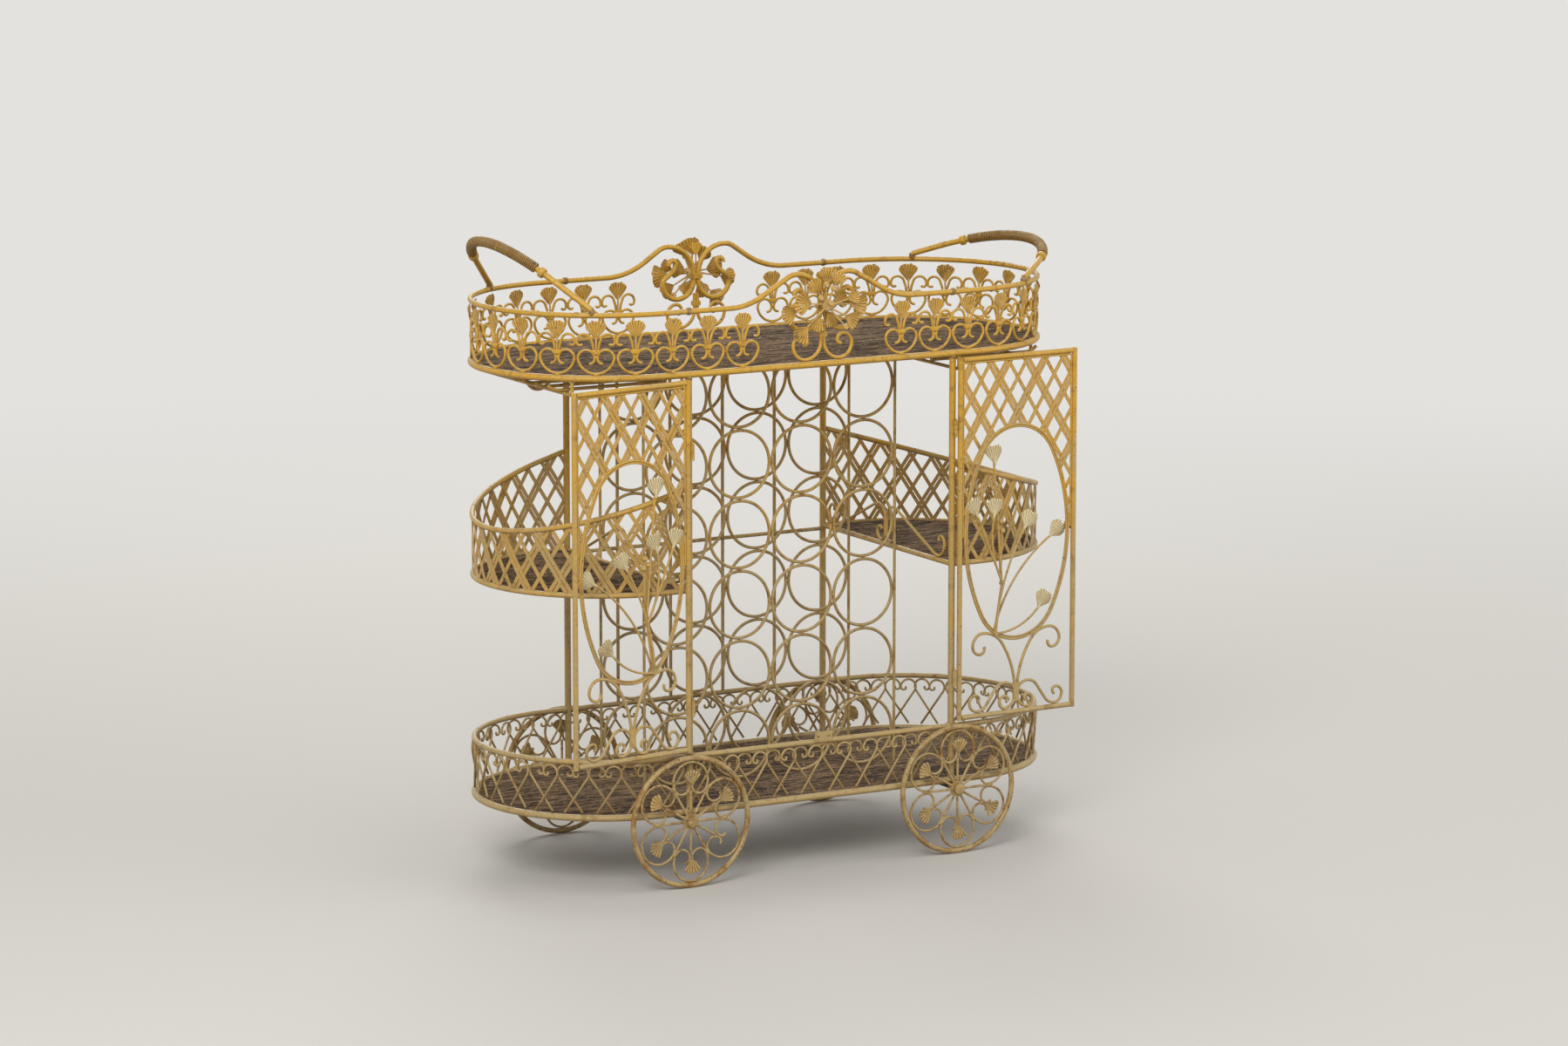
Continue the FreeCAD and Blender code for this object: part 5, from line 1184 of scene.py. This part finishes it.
class TROLLEY_OT_wheel_joints(bpy.types.Operator):
    """Weld the in-between spokes to the wheel scrolls, and close the ends of the axles"""

    bl_idname = "trolley.wheel_joints"
    bl_label = "Wheel joints"

    def execute(self, context):
        spoke_start, scroll_joint, spoke_wire = 39.5 * MM, 57 * MM, 1.9 * MM
        cap_wall, cap_cover, cap_rounding, cap_roughness = 1.3 * MM, 1 * MM, 2.4 * MM, 0.4 * MM
        tip = spoke_end(spoke_start, scroll_joint, spoke_wire)
        axle_low, axle_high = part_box("axle_left")
        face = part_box("wheel_rear_left")[1].y + 0.1 * MM
        radius = (axle_high.z - axle_low.z) / 2 + cap_wall
        cap = boss(radius, axle_high.y - face + cap_cover, cap_rounding, cap_roughness)
        caps = []
        for corner in corners:
            hub = Vector(hinges[corner + "_wheel"]["pos_m"])
            tips = []
            for index in range(6):
                tips.append(copy_to(tip, Matrix.Translation(hub) @ turned(60 * index + 30, "Y")))
            whole = join(tips, corner + "_spoke_ends")
            hand_over(whole, corner + "_wheel", "scuffed_enamel_on_wheel_iron", "painted_iron")
            way = math.copysign(1, hub.y)
            place = Matrix.Translation((hub.x, way * face, hub.z))
            caps.append(copy_to(cap, place @ turned(180 if way > 0 else 0, "Z")))
        discard(tip, cap)
        hand_over(join(caps, "axle_caps"), "stand", "scuffed_enamel_on_wheel_iron", "painted_iron")
        return {"FINISHED"}


# Handles


def handle_foot():
    """How far out and how far across the feet of the handles stand on the top rail."""
    half_span = 166 * MM
    return half_straight + math.sqrt(tray_radius**2 - half_span**2), half_span


# Which way each handle leans, the slope of its feet, how far its top reaches out and how high
handle_shapes = {"left": (-1, 55, 88 * MM, 87 * MM), "right": (1, 56, 103 * MM, 38 * MM)}


class TROLLEY_OT_grips(bpy.types.Operator):
    """Wind the wire round the tops of the two handles"""

    bl_idname = "trolley.grips"
    bl_label = "Grips"

    def execute(self, context):
        wire = context.scene.trolley_sizes.grip_wire
        bar, seat_gap, length = 4.5 * MM, 0.1 * MM, 230 * MM
        coil = bar + wire + seat_gap
        pitch = 2.04 * wire
        turns = int(length / pitch)
        foot_x, half_span = handle_foot()
        for side, (way, slope_degrees, reach, rise) in handle_shapes.items():
            slope = math.radians(slope_degrees)
            tilt = math.atan2(reach, rise)
            height = math.hypot(reach, rise)
            radius = (half_span * math.tan(slope) - height) / (1 / math.cos(slope) - 1)
            climb = math.sin(slope) * math.cos(tilt)
            foot_z = rail_height + rail_wire + seat_gap + bar * math.sqrt(1 - climb**2)
            nothing_selected()
            bpy.ops.mesh.primitive_circle_add(
                vertices=8, radius=wire, location=(0, 0, coil), rotation=(math.radians(90), 0, 0)
            )
            winding = bpy.context.object
            settle(winding)
            modify(
                winding,
                "SCREW",
                axis="X",
                angle=math.tau,
                screw_offset=length / turns,
                iterations=turns,
                steps=16,
                render_steps=16,
            )
            settle(winding, Matrix.Translation((-length / 2, 0, 0)))
            edit(winding)
            bpy.ops.mesh.select_all(action="SELECT")
            bpy.ops.mesh.fill_holes(sides=8)
            bpy.ops.mesh.normals_make_consistent(inside=False)
            leave_edit()
            # The straight winding is bent to the arch of the handle
            modify(
                winding,
                "SIMPLE_DEFORM",
                deform_method="BEND",
                deform_axis="Z",
                angle=length / radius,
            )
            smooth(winding, 60)
            place = (
                Matrix.Translation((way * foot_x, 0, foot_z))
                @ Matrix.Rotation(way * tilt, 4, "Y")
                @ turned(90, "Z")
                @ Matrix.Translation((0, 0, height))
                @ turned(-90, "X")
            )
            settle(winding, place)
            winding = join([winding], side + "_grip_winding")
            hand_over(winding, "stand", "hand_rubbed_enamel", "grip_wire", "grip_" + side)
        return {"FINISHED"}


# Welds


class TROLLEY_OT_welds(bpy.types.Operator):
    """Drop weld beads where the bars of the rack, posts and rails meet"""

    bl_idname = "trolley.welds"
    bl_label = "Welds"

    def execute(self, context):
        radius = context.scene.trolley_sizes.weld_bead
        for sheet in ("front", "rear"):
            low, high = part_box("rack_rings_" + sheet)
            y = (low.y + high.y) / 2
            pitch_x = (high.x - low.x) / 4
            pitch_z = (high.z - low.z) / 6
            spots = []
            for column in range(4):
                for row in range(6):
                    x = low.x + (column + 0.5) * pitch_x
                    z = low.z + (row + 0.5) * pitch_z
                    if column:
                        spots.append(Vector((x - pitch_x / 2, y, z)))
                    if row:
                        spots.append(Vector((x, y, z - pitch_z / 2)))
            weld_all("rack_welds_" + sheet, radius * 1.15, spots, "stand")
        spots = []
        for corner in corners:
            low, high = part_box("post_" + corner)
            x, y = (low.x + high.x) / 2, (low.y + high.y) / 2
            spots += [Vector((x, y, low.z)), Vector((x, y, high.z)), Vector((x, y, rail_height))]
            for side in (-1, 1):
                spots.append(Vector((x + side * (high.x - low.x) / 2, y, lower_rail_height)))
        weld_all("post_welds", rim_wire * 1.16, spots, "stand")
        foot_x, half_span = handle_foot()
        spots = [
            Vector((x, y, rail_height + rail_wire * (1 + way * 0.35)))
            for x in (-foot_x, foot_x)
            for y in (-half_span, half_span)
            for way in (-1, 1)
        ]
        weld_all("handle_welds", rail_wire * 1.35, spots, "stand")
        return {"FINISHED"}


def seen_rays(tree):
    """One where a ray is seen, straight or in a gloss, and nought where it only lights."""
    path = add_node(tree, "ShaderNodeLightPath")
    seen = path.outputs["Is Camera Ray"]
    for kind in ("Is Glossy Ray", "Is Transmission Ray"):
        seen = add_node(
            tree,
            "ShaderNodeMath",
            links={0: seen, 1: path.outputs[kind]},
            operation="ADD",
            use_clamp=True,
        ).outputs[0]
    return seen


class TROLLEY_OT_stage(bpy.types.Operator):
    """Lay the floor, hang the lamps and set up the camera"""

    bl_idname = "trolley.stage"
    bl_label = "Stage"

    def execute(self, context):
        nothing_selected()
        bpy.ops.mesh.primitive_plane_add(size=80)
        floor = bpy.context.object
        floor.name = "studio_floor"
        floor_paint = bare_material("pale_studio_floor")
        tree = floor_paint.node_tree
        shader = add_node(
            tree,
            "ShaderNodeBsdfPrincipled",
            {"Base Color": (*linear("#D8D5CF"), 1), "Roughness": 0.85},
        )
        # Away from the trolley the floor runs into the plain background
        away = add_node(
            tree,
            "ShaderNodeVectorMath",
            links={0: add_node(tree, "ShaderNodeTexCoord").outputs["Object"]},
            operation="LENGTH",
        ).outputs["Value"]
        far = add_node(
            tree, "ShaderNodeMapRange", {"From Min": 1.2, "From Max": 5.0}, {"Value": away}
        )
        far.interpolation_type = "SMOOTHSTEP"
        glow = add_node(
            tree, "ShaderNodeEmission", {"Color": (*linear("#E4E2DE"), 1), "Strength": 1.0}
        )
        seen_far = add_node(
            tree,
            "ShaderNodeMath",
            links={0: far.outputs["Result"], 1: seen_rays(tree)},
            operation="MULTIPLY",
        )
        mix = add_node(
            tree,
            "ShaderNodeMixShader",
            links={0: seen_far.outputs[0], 1: shader.outputs[0], 2: glow.outputs[0]},
        )
        add_node(tree, "ShaderNodeOutputMaterial", links={"Surface": mix.outputs[0]})
        floor.data.materials.append(floor_paint)
        for name, place, power, width in (
            ("key_lamp", (-3.2, -3.6, 3.6), 150, 2.4),
            ("fill_lamp", (3.6, -3.0, 2.2), 50, 3.0),
            ("back_lamp", (1.5, 3.8, 3.2), 70, 2.4),
        ):
            bpy.ops.object.light_add(type="AREA", location=place)
            lamp = bpy.context.object
            lamp.name = name
            lamp.data.energy = power
            lamp.data.size = width
            aim = Vector((0, 0, 0.45)) - Vector(place)
            lamp.rotation_euler = aim.to_track_quat("-Z", "Y").to_euler()
        world = bpy.data.worlds.new("studio_air")
        context.scene.world = world
        world.use_nodes = True
        air = world.node_tree
        air.nodes.clear()
        plain, seen = (
            add_node(air, "ShaderNodeBackground", {"Color": (*linear(tone), 1), "Strength": strength})
            for tone, strength in (("#F2F1EE", 0.55), ("#E4E2DE", 1.0))
        )
        mix = add_node(
            air,
            "ShaderNodeMixShader",
            links={0: seen_rays(air), 1: plain.outputs[0], 2: seen.outputs[0]},
        )
        add_node(air, "ShaderNodeOutputWorld", links={0: mix.outputs[0]})
        # The camera stands where the photograph was taken from
        azimuth, elevation, distance = math.radians(-29.35), math.radians(9.78), 8.83
        aim = Vector((0.0395, -0.0101, 0.5112))
        back = Vector(
            (
                math.sin(azimuth) * math.cos(elevation),
                -math.cos(azimuth) * math.cos(elevation),
                math.sin(elevation),
            )
        )
        bpy.ops.object.camera_add(location=aim + back * distance)
        camera = bpy.context.object
        camera.rotation_mode = "QUATERNION"
        camera.rotation_quaternion = (-back).to_track_quat("-Z", "Y")
        camera.data.sensor_width = 36
        camera.data.lens = 133.53
        camera.data.shift_y = -12 / 1799
        camera.data.clip_end = 100
        context.scene.camera = camera
        context.scene.view_settings.view_transform = "Standard"
        return {"FINISHED"}


class TROLLEY_PT_panel(bpy.types.Panel):
    """Sidebar panel that lists the steps"""

    bl_label = "Serving trolley"
    bl_idname = "TROLLEY_PT_panel"
    bl_space_type = "VIEW_3D"
    bl_region_type = "UI"
    bl_category = "Trolley"

    def draw(self, context):
        for step in steps:
            self.layout.operator(step.bl_idname)
        for group in (context.scene.trolley_finish, context.scene.trolley_sizes):
            for name in group.bl_rna.properties.keys():
                if name not in ("rna_type", "name"):
                    self.layout.prop(group, name)


steps = (
    TROLLEY_OT_stage,
    TROLLEY_OT_finishes,
    TROLLEY_OT_floors,
    TROLLEY_OT_gallery_scrolls,
    TROLLEY_OT_gallery_leaves,
    TROLLEY_OT_hearts,
    TROLLEY_OT_bouquets,
    TROLLEY_OT_door_leaves,
    TROLLEY_OT_wheel_leaves,
    TROLLEY_OT_wheel_joints,
    TROLLEY_OT_grips,
    TROLLEY_OT_welds,
)
classes = (TrolleyFinish, TrolleySizes, *steps, TROLLEY_PT_panel)


def register():
    for cls in classes:
        bpy.utils.register_class(cls)
    bpy.types.Scene.trolley_finish = bpy.props.PointerProperty(type=TrolleyFinish)
    bpy.types.Scene.trolley_sizes = bpy.props.PointerProperty(type=TrolleySizes)


def unregister():
    del bpy.types.Scene.trolley_sizes
    del bpy.types.Scene.trolley_finish
    for cls in reversed(classes):
        bpy.utils.unregister_class(cls)


def main():
    register()
    for step in steps:
        group, name = step.bl_idname.split(".")
        getattr(getattr(bpy.ops, group), name)()


if __name__ == "__main__":
    main()
